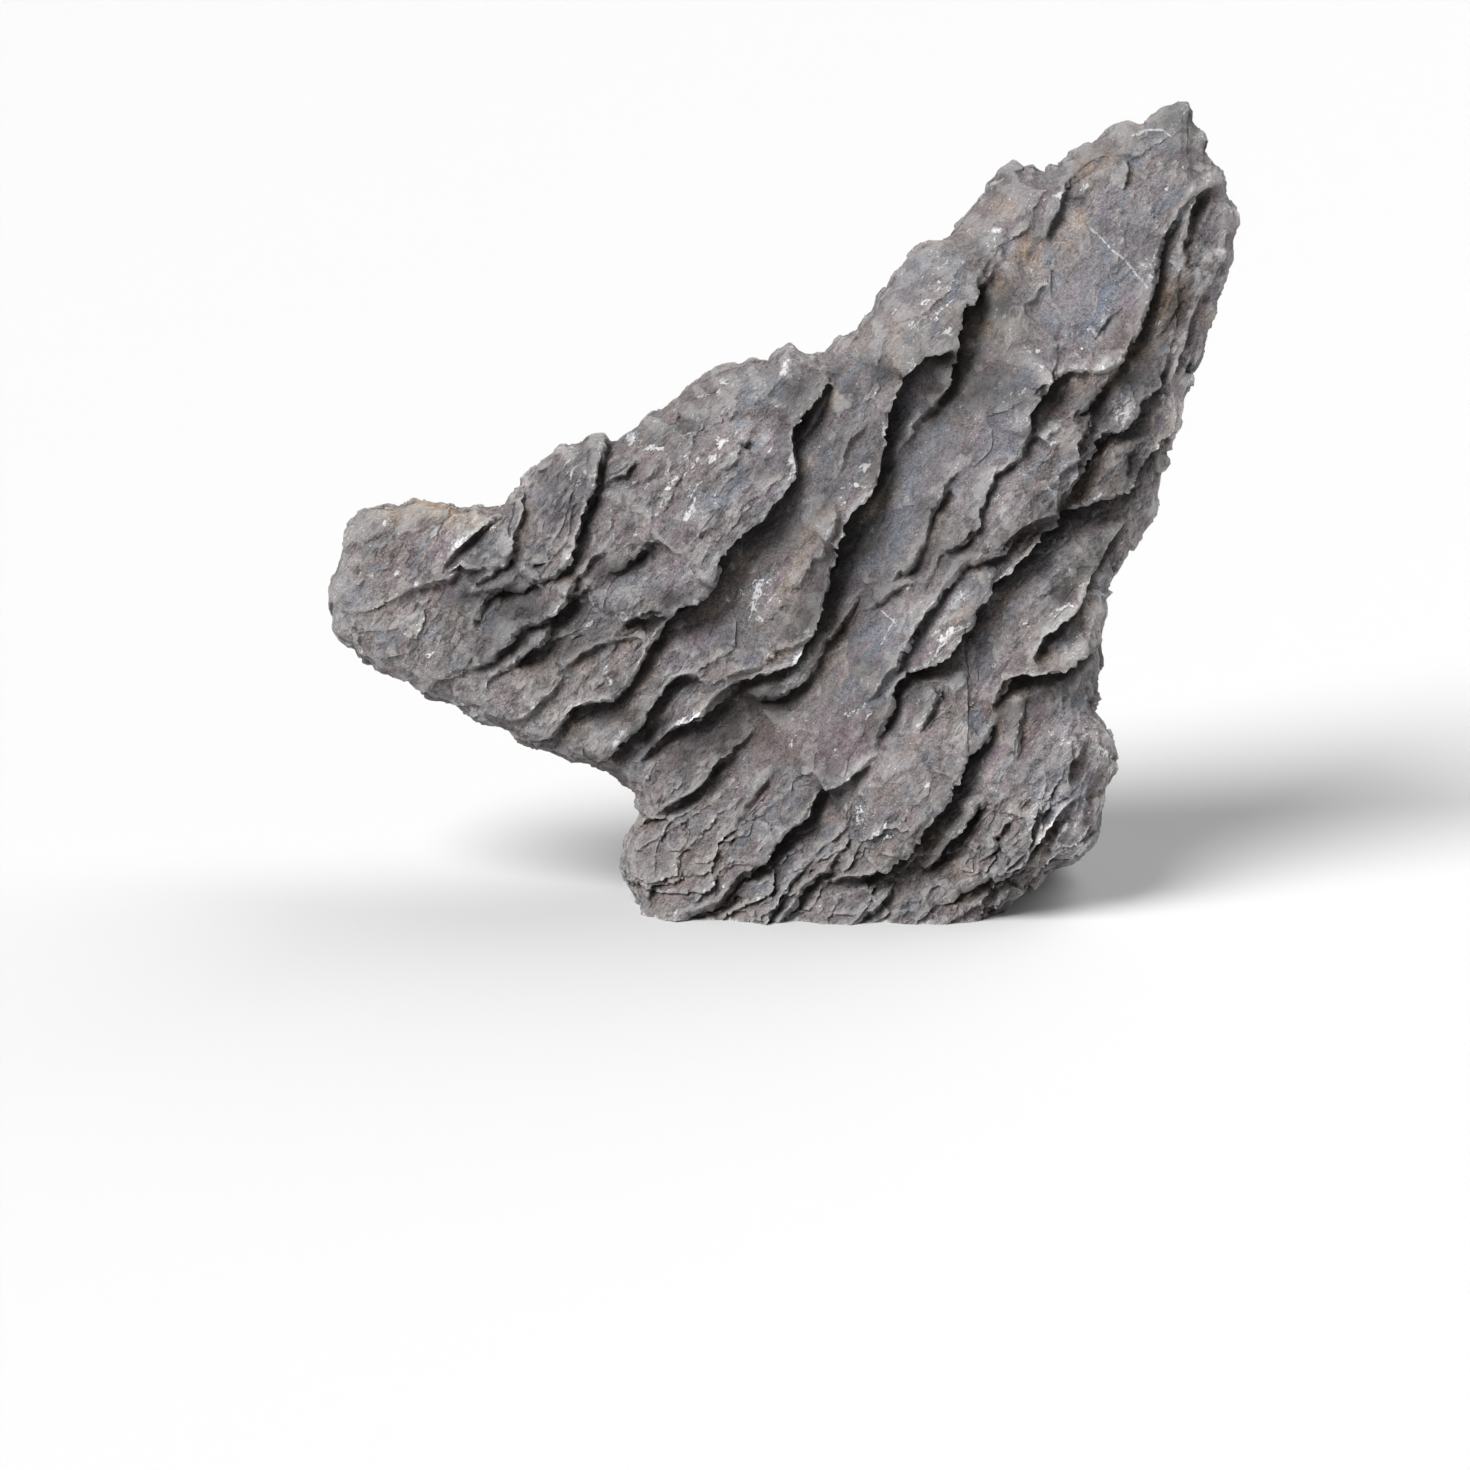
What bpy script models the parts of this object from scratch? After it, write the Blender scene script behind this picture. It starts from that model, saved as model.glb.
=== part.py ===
"""A dragon stone: one grey, ledged aquascaping rock that stands on its own broken foot.

The stone is drawn square on to its ledged face, in millimetres. On that drawing u runs right,
v runs up the face and w comes out of it. The face leans back by LEAN_DEG, so the drawing is
turned by that much to stand the stone up, with +Z up and the face looking along -Y.
"""

import math

import bmesh
import bpy
import numpy as np
from mathutils import Vector, noise

MM = 0.001
NAME = "dragon_stone"

LEAN_DEG = 14.0
GROUND_V = 5.0
GROUND_W = 38.0
CENTRE_X = 1.2
CENTRE_Y = 62.6

PRISM_HALF = 40.0
FINE_VOXEL = 2.0
TRIANGLES = 9400

FRONT_ROUNDING = 18.0
BACK_ROUNDING = 46.0
FRONT_RIM_SHARE = 0.46
BACK_RIM_SHARE = 0.30
GIRTH_REACH = 38.0
GIRTH_SHARPNESS = 2

# The stone is bedded: its layers come up out of the face towards the lower east, where they
# break off one after another. RUN points that way along the face.
RUN = np.array([0.77, -0.64])
BED_SLOPE = 0.20
BED_STEP = 11.0
BED_RISER = 0.30
BED_WANDER = 7.0
BED_WANDER_SIZE = 45.0

# A ledge's plate rises evenly to its lip and the floor under the lip is hollowed out. The lip
# hangs out over the floor.
LEDGE_DEPTH = 1.3
LIFT_SHARE = 0.55
PLATE_WIDTH_PER_DROP = 4.4
PLATE_WIDTH_LEAST = 7.0
FLOOR_WIDTH_PER_DROP = 2.3
FLOOR_WIDTH_LEAST = 4.0
FLOOR_CURVE = 1.6
UNDERCUT = 0.26
UNDERCUT_REACH = 7.0
OVERHANG = 0.65
OVERHANG_REACH = 9.0
EASE_FROM = 2.0
EASE_REACH = 8.0
EASE_ROUNDS = 20
LIP_WANDER = 0.8
LIP_WANDER_SIZE = 9.0

# The surface is broken into scales on its faces and into short beds on its edges.
FLAKE_SIZE = 24.0
FLAKE_LENGTH = 1.7
FLAKE_THICKNESS = 0.5
FLAKE_LIFT = 2.0
FLAKE_STEP = 1.4
FLAKE_STEP_ON_EDGE = 2.4
FLAKE_WANDER = 6.0
FLAKE_WANDER_SIZE = 21.0
FACE_WEAR = 0.5
FOOT_V = 20.0
FOOT_FADE = 40.0
CALM_ROUNDS = 2

LIP_SEED = 1
BED_SEED = 3
FLAKE_SEED = 4
SEED_SPACING = 13.7
CHANCE_WAY = np.array([12.9898, 78.233, 37.719])
CHANCE_SPREAD = 43758.5453
TINY = 1e-6

STONE_GREY = (0.262, 0.252, 0.256, 1.0)
STONE_ROUGHNESS = 0.85

# The edge of the stone, clockwise from the low corner of the west shoulder.
OUTLINE = [
    (-148, 117), (-146.5, 124), (-145, 130), (-145, 136), (-142.5, 140), (-139, 142.5), (-135, 144),
    (-131, 144.3), (-127, 143.6), (-122, 144.8), (-116, 144), (-111, 142.6), (-108, 142), (-102.5, 142.5),
    (-101, 144), (-99, 142.5), (-91, 143), (-89.5, 147.5), (-86, 149.5), (-85, 153.5), (-81, 156),
    (-78.5, 159), (-75, 161), (-73, 164), (-66, 164.5), (-64, 166.5), (-61, 168), (-58, 167.5),
    (-56, 164.5), (-52.5, 165.5), (-49, 168.5), (-46, 170), (-45, 173), (-41, 174.5), (-37, 176),
    (-35, 178.5), (-31.5, 181), (-30, 184), (-26, 186), (-23, 188.5), (-16, 190.5), (-13, 190),
    (-10, 191.8), (-4, 191), (-1, 194), (3, 196.3), (4.5, 194), (8, 192.8), (11, 192.5), (13, 193.5),
    (15, 193), (18, 196), (20, 198.5), (24.5, 200), (27, 201.5), (28.5, 205), (31.5, 208), (33, 212),
    (36.5, 216.5), (38.5, 221.5), (41.5, 224.5), (43, 227.5), (46.5, 229.8), (50, 231), (54, 231.5),
    (57.5, 233), (59, 236), (62.5, 240), (65, 242), (67, 244.5), (70, 247.5), (70.5, 251), (73, 253),
    (74, 256), (78, 258.3), (80.5, 255.8), (84, 257), (86, 255), (89.5, 254.8), (90.2, 257.8),
    (92.5, 256.5), (94, 258.5), (97, 260.5), (99, 263.3), (102, 264.8), (104, 264.6), (107, 266.5),
    (109.5, 269.5), (113, 271.5), (115.5, 272.2), (118, 270.8), (122, 271), (124, 273.5), (127.5, 276),
    (131, 277.3), (133, 278.6), (136, 279), (137.6, 275.5), (136.6, 272.5), (138.5, 269.8), (141.3, 269),
    (142.2, 266), (141.6, 263), (143.5, 259), (146, 256), (147.5, 252.5), (148, 247), (150.8, 243.5),
    (151, 236), (149.8, 232), (150, 226.5), (147.8, 222), (147.4, 218), (145, 213), (145, 209),
    (142.6, 204), (142, 199.5), (140, 194), (136, 190.5), (136.4, 185), (133.4, 181), (133, 176),
    (131.8, 171.5), (128, 167), (127.6, 160.5), (125.6, 155), (124.6, 149.5), (124, 142.5), (121, 138.5),
    (117.5, 134.5), (113, 128.5), (109.6, 122), (107.3, 117), (107.4, 108.5), (105, 102.5), (105.2, 92),
    (103, 83), (103.2, 75.5), (107, 72), (109.8, 66), (110.4, 58), (106.4, 50.5), (105, 43), (103.4, 33),
    (97, 27), (90, 25), (83, 18), (76, 12), (69, 7), (66, 0), (62, -14), (-44, -14), (-49, 2), (-47, 13),
    (-52, 24), (-50, 34), (-45, 42), (-47, 50), (-55, 56), (-62, 59), (-69, 60), (-76, 63), (-84, 65),
    (-91, 71), (-100, 73), (-109, 79), (-117, 81), (-125, 87), (-134, 90), (-140, 98), (-147, 103),
]

# How far the stone comes out of the drawing's plane in front of it, and goes behind it, at places
# across the face: u, v, front, back.
GIRTH = [
    (-132, 122, 13, 27), (-100, 122, 17, 36), (-72, 140, 25, 40), (-66, 92, 20, 44), (-30, 165, 28, 40),
    (-20, 120, 32, 50), (-30, 76, 22, 56), (15, 165, 28, 42), (30, 110, 31, 54), (45, 210, 24, 34),
    (70, 165, 31, 46), (100, 225, 25, 34), (128, 262, 15, 20), (138, 225, 17, 28), (112, 160, 22, 38),
    (80, 105, 30, 50), (100, 54, 40, 56), (45, 55, 34, 64), (0, 50, 24, 66), (10, 5, 34, 74),
    (55, 10, 34, 72), (-36, 12, 26, 64),
]

# The ledges of the face. Each is walked down its lip, with the overlapping plate on the west and
# the lower floor on the east: u, v and the drop from the lip to the floor.
LEDGES = {
    "west_shoulder": [(-57, 170, 5), (-57, 160, 6), (-60, 151, 6), (-63, 144, 7), (-65.5, 136, 7),
                      (-67.5, 129, 7), (-71, 123, 6), (-74, 121, 5), (-82, 119, 5), (-90, 117, 5),
                      (-98, 115, 4), (-106, 113, 0)],
    "west_flake": [(-84, 152, 3), (-85, 143, 4), (-87.5, 136, 4), (-88.5, 129, 5), (-91, 126, 5),
                   (-95, 121.5, 4), (-99, 118, 3), (-102, 116, 0)],
    "shoulder_step": [(-90, 143, 0), (-96, 139, 4), (-100, 136, 5), (-104, 132, 5), (-108, 128.5, 4),
                      (-111, 125, 3), (-113, 121, 0)],
    "shoulder_hollow": [(-91, 128, 0), (-96, 124, 3), (-101, 123, 4), (-106, 123, 4), (-111, 120, 0)],
    "lump_step": [(-103, 127, 0), (-104, 122, 2), (-108, 119, 4), (-114, 117.5, 4), (-121, 117, 3),
                  (-128, 113, 2), (-136, 110, 0)],
    "west_apron": [(-67, 121, 0), (-68.5, 116, 5), (-70, 112, 7), (-74, 108.5, 7), (-79, 106, 5),
                   (-84, 105.5, 5), (-88, 102.5, 6), (-91, 98, 6), (-98, 92, 4), (-106, 88, 0)],
    "west_chip": [(-75, 106, 0), (-77.5, 101.5, 6), (-80, 97.5, 7), (-84, 94, 7), (-89, 91.5, 4),
                  (-94, 88, 3), (-99, 83, 0)],
    "long_west_lip": [(19, 180.5, 0), (15.5, 178.5, 7), (9, 174, 10), (5.5, 169.5, 9), (5, 160, 8),
                      (3.5, 152, 8), (1, 148, 10), (-4, 142.5, 11), (-8, 138, 12), (-12, 134.5, 12),
                      (-16, 130.5, 12), (-19.5, 127, 12), (-21, 120, 12), (-24, 115, 12), (-28, 112, 11),
                      (-36, 110.5, 9), (-38, 105, 8), (-40.5, 100, 8), (-46, 92, 7), (-52, 84, 6),
                      (-57, 80, 7), (-62, 79, 7), (-67, 77.5, 7), (-70, 74, 6), (-75, 68, 5), (-80, 64, 4)],
    "lobe_fold": [(3, 173, 0), (5.5, 177, 3), (11, 181.5, 4), (16, 183, 3), (20, 187, 0)],
    "west_scar": [(-44, 159.5, 0), (-48, 157, 3), (-51, 154.5, 4), (-55, 152.5, 3), (-58, 149.5, 0)],
    "saddle_lens": [(-55, 126.5, 0), (-59, 128, 3), (-62.5, 126, 4), (-64, 122, 4), (-67, 119.5, 3),
                    (-69.5, 117, 0)],
    "west_shelf": [(-36, 129, 0), (-42, 130.5, 4), (-46, 129.5, 6), (-50, 127, 6), (-54, 123.5, 5),
                   (-58, 121, 3), (-62, 119, 0)],
    "saddle_crack": [(-57, 118.5, 0), (-62, 117, 3), (-66, 115, 4), (-70, 111.5, 4), (-75, 107, 3),
                     (-79, 103, 0)],
    "west_pocket": [(-36, 112, 0), (-40, 109.5, 4), (-45, 108, 6), (-49.5, 106.5, 6), (-52, 103, 3),
                    (-56, 101, 0)],
    "west_plate": [(-44, 100.5, 0), (-50, 99.5, 2.5), (-56, 98.5, 3), (-61, 97, 4), (-65, 94.5, 4),
                   (-69, 90.5, 3), (-74, 86, 0)],
    "west_curl": [(-68, 90, 0), (-72, 86, 3), (-75, 81, 4), (-80, 77, 4), (-86, 74, 3), (-92, 72, 0)],
    "tongue": [(-23, 84, 0), (-28, 88, 5), (-32, 87, 7), (-36, 84.5, 7), (-40, 81, 8), (-42.5, 77, 8),
               (-43.5, 73, 8), (-46, 70, 8), (-50, 67, 7), (-54, 64.5, 7), (-58, 60, 6), (-62, 55, 5)],
    "knob": [(-11, 84.5, 0), (-16, 82, 4), (-22, 78.5, 6), (-26, 74.5, 7), (-29, 72, 8), (-34, 70.5, 7),
             (-38, 67, 5), (-43, 63, 4), (-47, 59, 0)],
    "plate_seam_low": [(21, 147.5, 0), (17.5, 144.5, 3), (15.5, 140, 4), (12.5, 133, 4), (9.5, 127, 4),
                       (6, 120, 3), (3, 115, 0)],
    "long_middle_lip": [(72, 235, 0), (71, 229, 3), (70, 224, 3), (66.5, 218, 3), (63, 213, 4),
                        (60, 207, 4), (58, 201.5, 5), (55.5, 198, 8), (50, 195, 10), (46, 192, 11),
                        (43, 187.5, 11), (37, 180, 10), (35.5, 172, 10), (35, 166, 9), (33, 158, 9),
                        (30.5, 150, 9), (26, 142.5, 10), (22, 136.5, 12), (19.5, 128, 13), (17, 119, 13),
                        (13, 109, 12), (10, 101, 11), (8, 96, 10), (5, 92, 9), (0, 90, 8), (-5, 88, 7),
                        (-11, 86, 6), (-16, 83.5, 5), (-24, 78, 4), (-30, 72, 0)],
    "layer_strip": [(11, 119, 0), (9.5, 112, 3), (8, 107, 4), (6, 103, 4), (3, 100, 3), (-2, 96.5, 3),
                    (-8, 91.5, 3), (-16, 87, 3), (-22, 86, 0)],
    "strip_edge": [(27, 116, 0), (23, 110, 4), (18.5, 103.5, 5), (14, 98, 5), (11.5, 93, 5), (9.5, 89, 0)],
    "hanging_chip": [(11, 98, 0), (9, 91, 5), (7, 86.5, 6), (3.5, 83.5, 6), (-1, 81.5, 6), (-7, 80.5, 5),
                     (-13, 82.5, 0)],
    "throat": [(76, 241, 0), (73.5, 231, 4), (73, 225, 6), (71.5, 220, 7), (69, 216.5, 8),
               (65.5, 212.5, 10), (63, 208, 11), (62, 203, 10), (60.5, 197, 9), (59.5, 191, 7),
               (57.5, 186, 7), (54, 179.5, 7), (49, 175.5, 7), (45, 172.5, 6), (42, 165.5, 6), (38, 160, 4),
               (34, 156, 3), (31, 151, 0)],
    "crown_lip": [(143, 250, 3), (137, 246, 5), (132, 243, 7), (128.5, 239, 8), (126.5, 234.5, 9),
                  (125, 229, 10), (123, 222, 10), (122, 215, 9), (120.5, 208, 9), (118, 202, 9),
                  (115, 196, 8), (112, 190, 7), (107, 187.5, 6), (102, 187.5, 7), (98.5, 186, 8),
                  (95, 187, 9), (91, 185.5, 10), (88.5, 183, 11), (86, 178, 11), (83.5, 173, 10),
                  (82, 167, 8), (81, 161, 6), (76, 157.5, 4), (71, 154, 4), (67.5, 148.5, 5), (66, 143, 5),
                  (65, 138, 5), (62, 134, 4), (59, 131.5, 4), (56, 129.5, 4), (52.5, 128.5, 3),
                  (50, 123, 3), (47, 118, 3), (45.5, 113, 0)],
    "crest_notch": [(97.5, 255, 0), (95.5, 250, 4), (93.5, 245.5, 5), (91.5, 241.5, 5), (90, 238, 4),
                    (89, 234, 4), (88.5, 230.5, 0)],
    "peak_edge": [(143, 270, 0), (141.5, 265, 4), (141, 260, 3), (139.5, 257, 0)],
    "east_strip": [(144, 252, 0), (141, 249, 4), (138, 246, 6), (136.5, 242, 6), (135, 237, 5),
                   (133.8, 231, 4), (134, 226, 3), (135.5, 220, 0)],
    "east_fin": [(143, 222, 0), (140.5, 216, 4), (138, 210, 5), (136, 203, 5), (135, 197, 6),
                 (132.5, 191, 5), (130, 186, 3), (128, 181, 0)],
    "east_slot": [(130, 196, 0), (127.5, 190, 4), (125.5, 184.5, 6), (121.5, 180.5, 7), (119.5, 175, 7),
                  (117, 170.5, 7), (113, 168.5, 6), (109, 165.5, 6), (105.5, 162, 7), (102.5, 157.5, 8),
                  (100.5, 153.5, 8), (97, 150.5, 7), (93.5, 147.5, 6), (90.5, 144, 0)],
    "inner_chip": [(114, 192, 0), (109, 186, 5), (104.5, 181, 6), (101, 177.5, 7), (98, 174.5, 5),
                   (94.5, 171, 0)],
    "inner_step": [(105, 176.5, 0), (103, 171, 5), (100.5, 167, 6), (98, 163, 7), (97.5, 160, 5),
                   (94, 156.5, 3), (90, 152, 0)],
    "east_scale": [(119, 167, 0), (114.5, 163.5, 3), (111.5, 160.5, 4), (110, 156, 3), (108, 151.5, 0)],
    "faint_fold": [(64, 161, 0), (60, 156, 2), (56, 150.5, 4), (53, 147, 5), (50.5, 143, 5), (48.5, 137, 4),
                   (46.5, 130.5, 4), (43, 125, 5), (40, 121.5, 5), (37, 118, 0)],
    "low_fold": [(48, 119, 0), (42, 117, 3), (38, 115.5, 4), (34, 112.5, 4), (30, 110, 3), (25, 108, 0)],
    "long_east_lip": [(133, 170, 4), (127, 165.5, 8), (124, 162, 9), (120.5, 158, 10), (117, 154, 11),
                      (113, 148.5, 12), (108, 146.5, 13), (104, 146, 13), (101, 144, 13), (96, 142.5, 13),
                      (92, 141.5, 12), (89, 138, 12), (86, 133, 12), (82, 128, 12), (78, 125.5, 11),
                      (74, 122, 11), (71.5, 119.5, 11), (70, 115.5, 11), (67, 111.5, 11), (63.5, 106, 10),
                      (61, 101, 10), (56, 97, 9), (51.5, 93.5, 8), (46, 91, 7), (41.5, 88.5, 7),
                      (38.5, 83, 7), (36.5, 77.5, 6), (34, 70, 5), (31, 63, 0)],
    "scaly_lip": [(95, 146, 0), (91, 142.5, 4), (87, 140.5, 5), (82, 137.5, 7), (78.5, 134.5, 8),
                  (75, 131.5, 8), (71, 127.5, 7), (66, 126, 5), (61, 124.5, 4), (58.5, 120.5, 5),
                  (56, 116.5, 6), (52, 110, 6), (48.5, 104, 6), (45.5, 98.5, 6), (41, 93, 5), (37, 89, 4),
                  (32.5, 83, 4), (28.5, 78, 0)],
    "scaly_spur": [(69, 127, 0), (67.5, 124.5, 4), (66, 121, 4), (64, 117, 0)],
    "east_gill": [(114, 139, 0), (111, 134, 5), (108, 130, 7), (104.5, 124, 8), (101.5, 119, 8),
                  (100, 113, 7), (96, 108, 7), (92, 105, 7), (88.5, 101.5, 7), (85.5, 97.5, 6), (83, 94, 4),
                  (79, 90, 0)],
    "east_overhang": [(110, 100, 6), (104, 97, 8), (99.5, 93.5, 9), (95, 90, 9), (92.5, 88.5, 8),
                      (90.5, 90, 7), (86, 88.5, 8), (81, 88, 8), (75.5, 86.5, 8), (72, 84, 6),
                      (69.5, 80, 5), (68.5, 75, 0)],
    "low_notch": [(54, 85, 0), (51, 81, 4), (49, 76.5, 5), (46.5, 72.5, 4), (44, 69, 0)],
    "low_crack": [(72, 77, 0), (70, 71, 4), (69, 67, 6), (66, 64.5, 7), (63, 62, 8), (60.5, 57.5, 9),
                  (58.5, 52, 10), (56, 46, 10), (53, 42, 10), (49, 38, 10), (46.5, 33.5, 10), (43, 28.5, 9),
                  (37, 24, 8), (30, 22, 6), (22, 21, 5), (12, 18, 0)],
    "knee_notch": [(101.5, 68, 0), (98.5, 62.5, 4), (96.5, 57.5, 5), (95.5, 51, 3), (93, 46, 0)],
    "knee_crack": [(82.5, 84, 0), (79.5, 77, 3), (78.8, 70, 4), (77.5, 64, 4), (75, 59, 0)],
    "hidden_shelf": [(-4, 74, 0), (-12, 66, 3), (-20, 60, 6), (-26, 52, 6), (-33, 47, 6), (-41, 42, 5),
                     (-50, 37, 4)],
    "hidden_lip": [(34, 66, 0), (28, 60, 3), (22, 52, 5), (14, 48, 6), (9, 40, 7), (1, 36, 7), (-6, 27, 7),
                   (-15, 22, 6), (-22, 13, 6), (-31, 9, 5), (-38, 0, 5)],
    "hidden_fold": [(2, 60, 0), (-5, 52, 4), (-12, 45, 4), (-17, 37, 3), (-24, 32, 0)],
    "foot_step": [(22, 32, 0), (16, 24, 5), (8, 18, 5), (2, 8, 5), (-6, 0, 5)],
    "low_gills": [(68.5, 47, 0), (65.5, 43, 5), (62, 38, 6), (58.5, 34.5, 6), (55.5, 30.5, 5),
                  (52, 26.5, 4), (48, 22, 0)],
    "low_gills_east": [(77, 44, 0), (73, 38, 4), (70, 32, 5), (66, 27, 4), (63, 22, 0)],
    "knee_hem": [(101, 50, 0), (95, 45, 4), (91, 40.5, 6), (88, 35, 7), (83.5, 30.5, 7), (80.5, 25, 7),
                 (75, 23, 7), (69, 22.5, 7), (61, 19, 6), (53, 15.5, 4), (46, 12, 0)],
    "foot_gill": [(40, 20, 0), (34, 14, 4), (28, 9, 5), (24, 2, 5), (20, -6, 4)],
}


def distance_to_path(points, path):
    """Each point's distance to a path, the share of the way along the nearest piece, that piece's
    number, and on which side of it the point is: +1 on the left of someone walking the path."""
    best = np.full(len(points), np.inf)
    along = np.zeros(len(points))
    piece = np.zeros(len(points), int)
    side = np.ones(len(points))
    squareness = np.zeros(len(points))
    for number, (start, end) in enumerate(zip(path[:-1], path[1:])):
        run = end - start
        length = math.hypot(*run)
        offset = points - start
        share = np.clip(offset @ run / length**2, 0.0, 1.0)
        gap = offset - share[:, None] * run
        distance = np.hypot(gap[:, 0], gap[:, 1])
        cross = (run[0] * offset[:, 1] - run[1] * offset[:, 0]) / length
        square = np.abs(cross)
        nearer = (distance < best - TINY) | ((distance < best + TINY) & (square > squareness))
        best = np.where(nearer, distance, best)
        along = np.where(nearer, share, along)
        piece = np.where(nearer, number, piece)
        side = np.where(nearer, np.sign(cross), side)
        squareness = np.where(nearer, square, squareness)
    return best, along, piece, side


def smooth_noise(points, size, seed):
    """Noise from about -1 to 1 at each point, in lumps of about the given size."""
    places = np.zeros((len(points), 3))
    places[:, :points.shape[1]] = points / size
    return np.array([noise.noise(place) for place in (places + SEED_SPACING * seed).tolist()])


def wandered(points, amount, size, seed):
    """The points moved about smoothly, by up to about the given amount, in lumps of that size."""
    axes = range(points.shape[1])
    return points + amount * np.column_stack([smooth_noise(points, size, seed + axis) for axis in axes])


def ledge_lift(face):
    """How far the ledges lift or sink the face at points u, v, how far each lip hangs out over its
    floor there, along RUN, and how far off the nearest lip is."""
    height = np.zeros(len(face))
    hang = np.zeros(len(face))
    nearest = np.full(len(face), np.inf)
    for ledge in LEDGES.values():
        lip = np.array(ledge, float)
        lip[:, 2] *= LEDGE_DEPTH
        set_back = lip[:, 2:] * OVERHANG * LIFT_SHARE * RUN
        distance, along, piece, side = distance_to_path(face, lip[:, :2] - set_back)
        drop = lip[piece, 2] * (1 - along) + lip[piece + 1, 2] * along
        plate_width = PLATE_WIDTH_LEAST + PLATE_WIDTH_PER_DROP * drop
        floor_width = FLOOR_WIDTH_LEAST + FLOOR_WIDTH_PER_DROP * drop
        on_plate = np.clip(1 - distance / plate_width, 0, 1)
        on_floor = np.clip(1 - distance / floor_width, 0, 1) ** FLOOR_CURVE
        sink = (1 - LIFT_SHARE) * on_floor + UNDERCUT * np.clip(1 - distance / UNDERCUT_REACH, 0, 1)
        lift = drop * np.where(side < 0, LIFT_SHARE * on_plate, -sink)
        height += lift
        hang += OVERHANG * lift * np.clip(1 - distance / OVERHANG_REACH, 0, 1)
        nearest = np.minimum(nearest, distance)
    return height, hang, nearest


def neighbour_mean(values, edges):
    """Each point's mean of its neighbours' values."""
    total = np.zeros_like(values)
    count = np.bincount(edges.ravel(), minlength=len(values))
    for axis in range(values.shape[1]):
        column = np.bincount(edges[:, 0], weights=values[edges[:, 1], axis], minlength=len(values))
        column += np.bincount(edges[:, 1], weights=values[edges[:, 0], axis], minlength=len(values))
        total[:, axis] = column / np.maximum(count, 1)
    return total


def eased(height, nearest, edges):
    """The height evened out among neighbours, except close to the lips."""
    share = np.clip((nearest - EASE_FROM) / EASE_REACH, 0, 1)
    for _ in range(EASE_ROUNDS):
        height = height + share * (neighbour_mean(height[:, None], edges)[:, 0] - height)
    return height


def flakes(points, size):
    """Overlapping scales. For each point it gives how far along its own scale the point lies in
    the direction of RUN, from about -0.5 to 0.5, and a number from -0.5 to 0.5 for the scale."""
    u, v, w = points.T
    run = (u * RUN[0] + v * RUN[1]) / size
    along_lip = (v * RUN[0] - u * RUN[1]) / (FLAKE_LENGTH * size)
    bed = (w - BED_SLOPE * run * size) / (FLAKE_THICKNESS * size)
    cells = np.column_stack([run, along_lip, bed])
    centres = np.array([noise.voronoi(cell)[1][0] for cell in cells.tolist()])
    chance = np.sin(centres @ CHANCE_WAY) * CHANCE_SPREAD
    return cells[:, 0] - centres[:, 0], chance - np.floor(chance) - 0.5


def girth(face):
    """Front and back depth at points u, v, smoothly between the places listed in GIRTH."""
    places = np.array(GIRTH, float)
    gap = face[:, None, :] - places[None, :, :2]
    weight = (np.exp(-(gap**2).sum(2) / (2 * GIRTH_REACH**2)) + TINY) ** GIRTH_SHARPNESS
    weight /= weight.sum(1, keepdims=True)
    return weight @ places[:, 2], weight @ places[:, 3]


def rounding(distance, reach, rim_share):
    """A quarter round from rim_share at the stone's edge up to 1 at reach inside it."""
    inside = np.clip(distance / reach, 0, 1)
    return rim_share + (1 - rim_share) * np.sqrt(1 - (1 - inside) ** 2)


def terraced(height):
    """A smooth height broken into treads and risers, one for each bed."""
    level = np.floor(height / BED_STEP)
    part = height / BED_STEP - level
    risen = level + np.clip((part - 1 + BED_RISER) / BED_RISER, 0, 1)
    return BED_STEP * (risen + (1 - BED_RISER) / 2)


def shape(points, edges):
    """Turns the flat prism's points u, v, w, in millimetres, into the stone's form."""
    face = points[:, :2]
    layer = np.clip(points[:, 2] / PRISM_HALF, -1, 1)
    outline = np.array(OUTLINE + OUTLINE[:1], float)
    distance = distance_to_path(face, outline)[0]
    lift, hang, nearest = ledge_lift(wandered(face, LIP_WANDER, LIP_WANDER_SIZE, LIP_SEED))
    lift = eased(lift, nearest, edges)
    bed_rise = BED_SLOPE * (face @ RUN) + BED_WANDER * smooth_noise(face, BED_WANDER_SIZE, BED_SEED)
    front, back = girth(face)
    front = front * rounding(distance, FRONT_ROUNDING, FRONT_RIM_SHARE) + lift
    back = back * rounding(distance, BACK_ROUNDING, BACK_RIM_SHARE)
    back = terraced(back + bed_rise) - bed_rise
    depth = (layer + 1) / 2 * (front + back) - back
    hang = hang * np.clip(layer, 0, 1) * np.clip(distance / OVERHANG_REACH, 0, 1)
    return np.column_stack([face + hang[:, None] * RUN, depth])


def broken_into_scales(points, normals):
    """Breaks the surface into scales on the faces and into short beds on the edges, gently on the
    face itself, where the ledges are drawn one by one."""
    run_in_scale, level = flakes(wandered(points, FLAKE_WANDER, FLAKE_WANDER_SIZE, FLAKE_SEED), FLAKE_SIZE)
    facing = normals[:, 2]
    face_share = smooth_share(np.abs(facing), 0.3, 0.95)
    rise = run_in_scale * np.sign(facing) * FLAKE_LIFT * face_share
    step = level * (FLAKE_STEP * face_share + FLAKE_STEP_ON_EDGE * (1 - face_share))
    on_face = smooth_share(facing, 0.15, 0.65) * np.clip((points[:, 1] - FOOT_V) / FOOT_FADE, 0, 1)
    height = (rise + step) * (1 - (1 - FACE_WEAR) * on_face)
    push = normals * height[:, None]
    push[:, :2] += OVERHANG * (height * np.clip(facing, 0, 1))[:, None] * RUN
    return points + push


def smooth_share(value, start, end):
    """0 below the start, 1 above the end and evenly between."""
    return np.clip((value - start) / (end - start), 0, 1)


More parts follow.
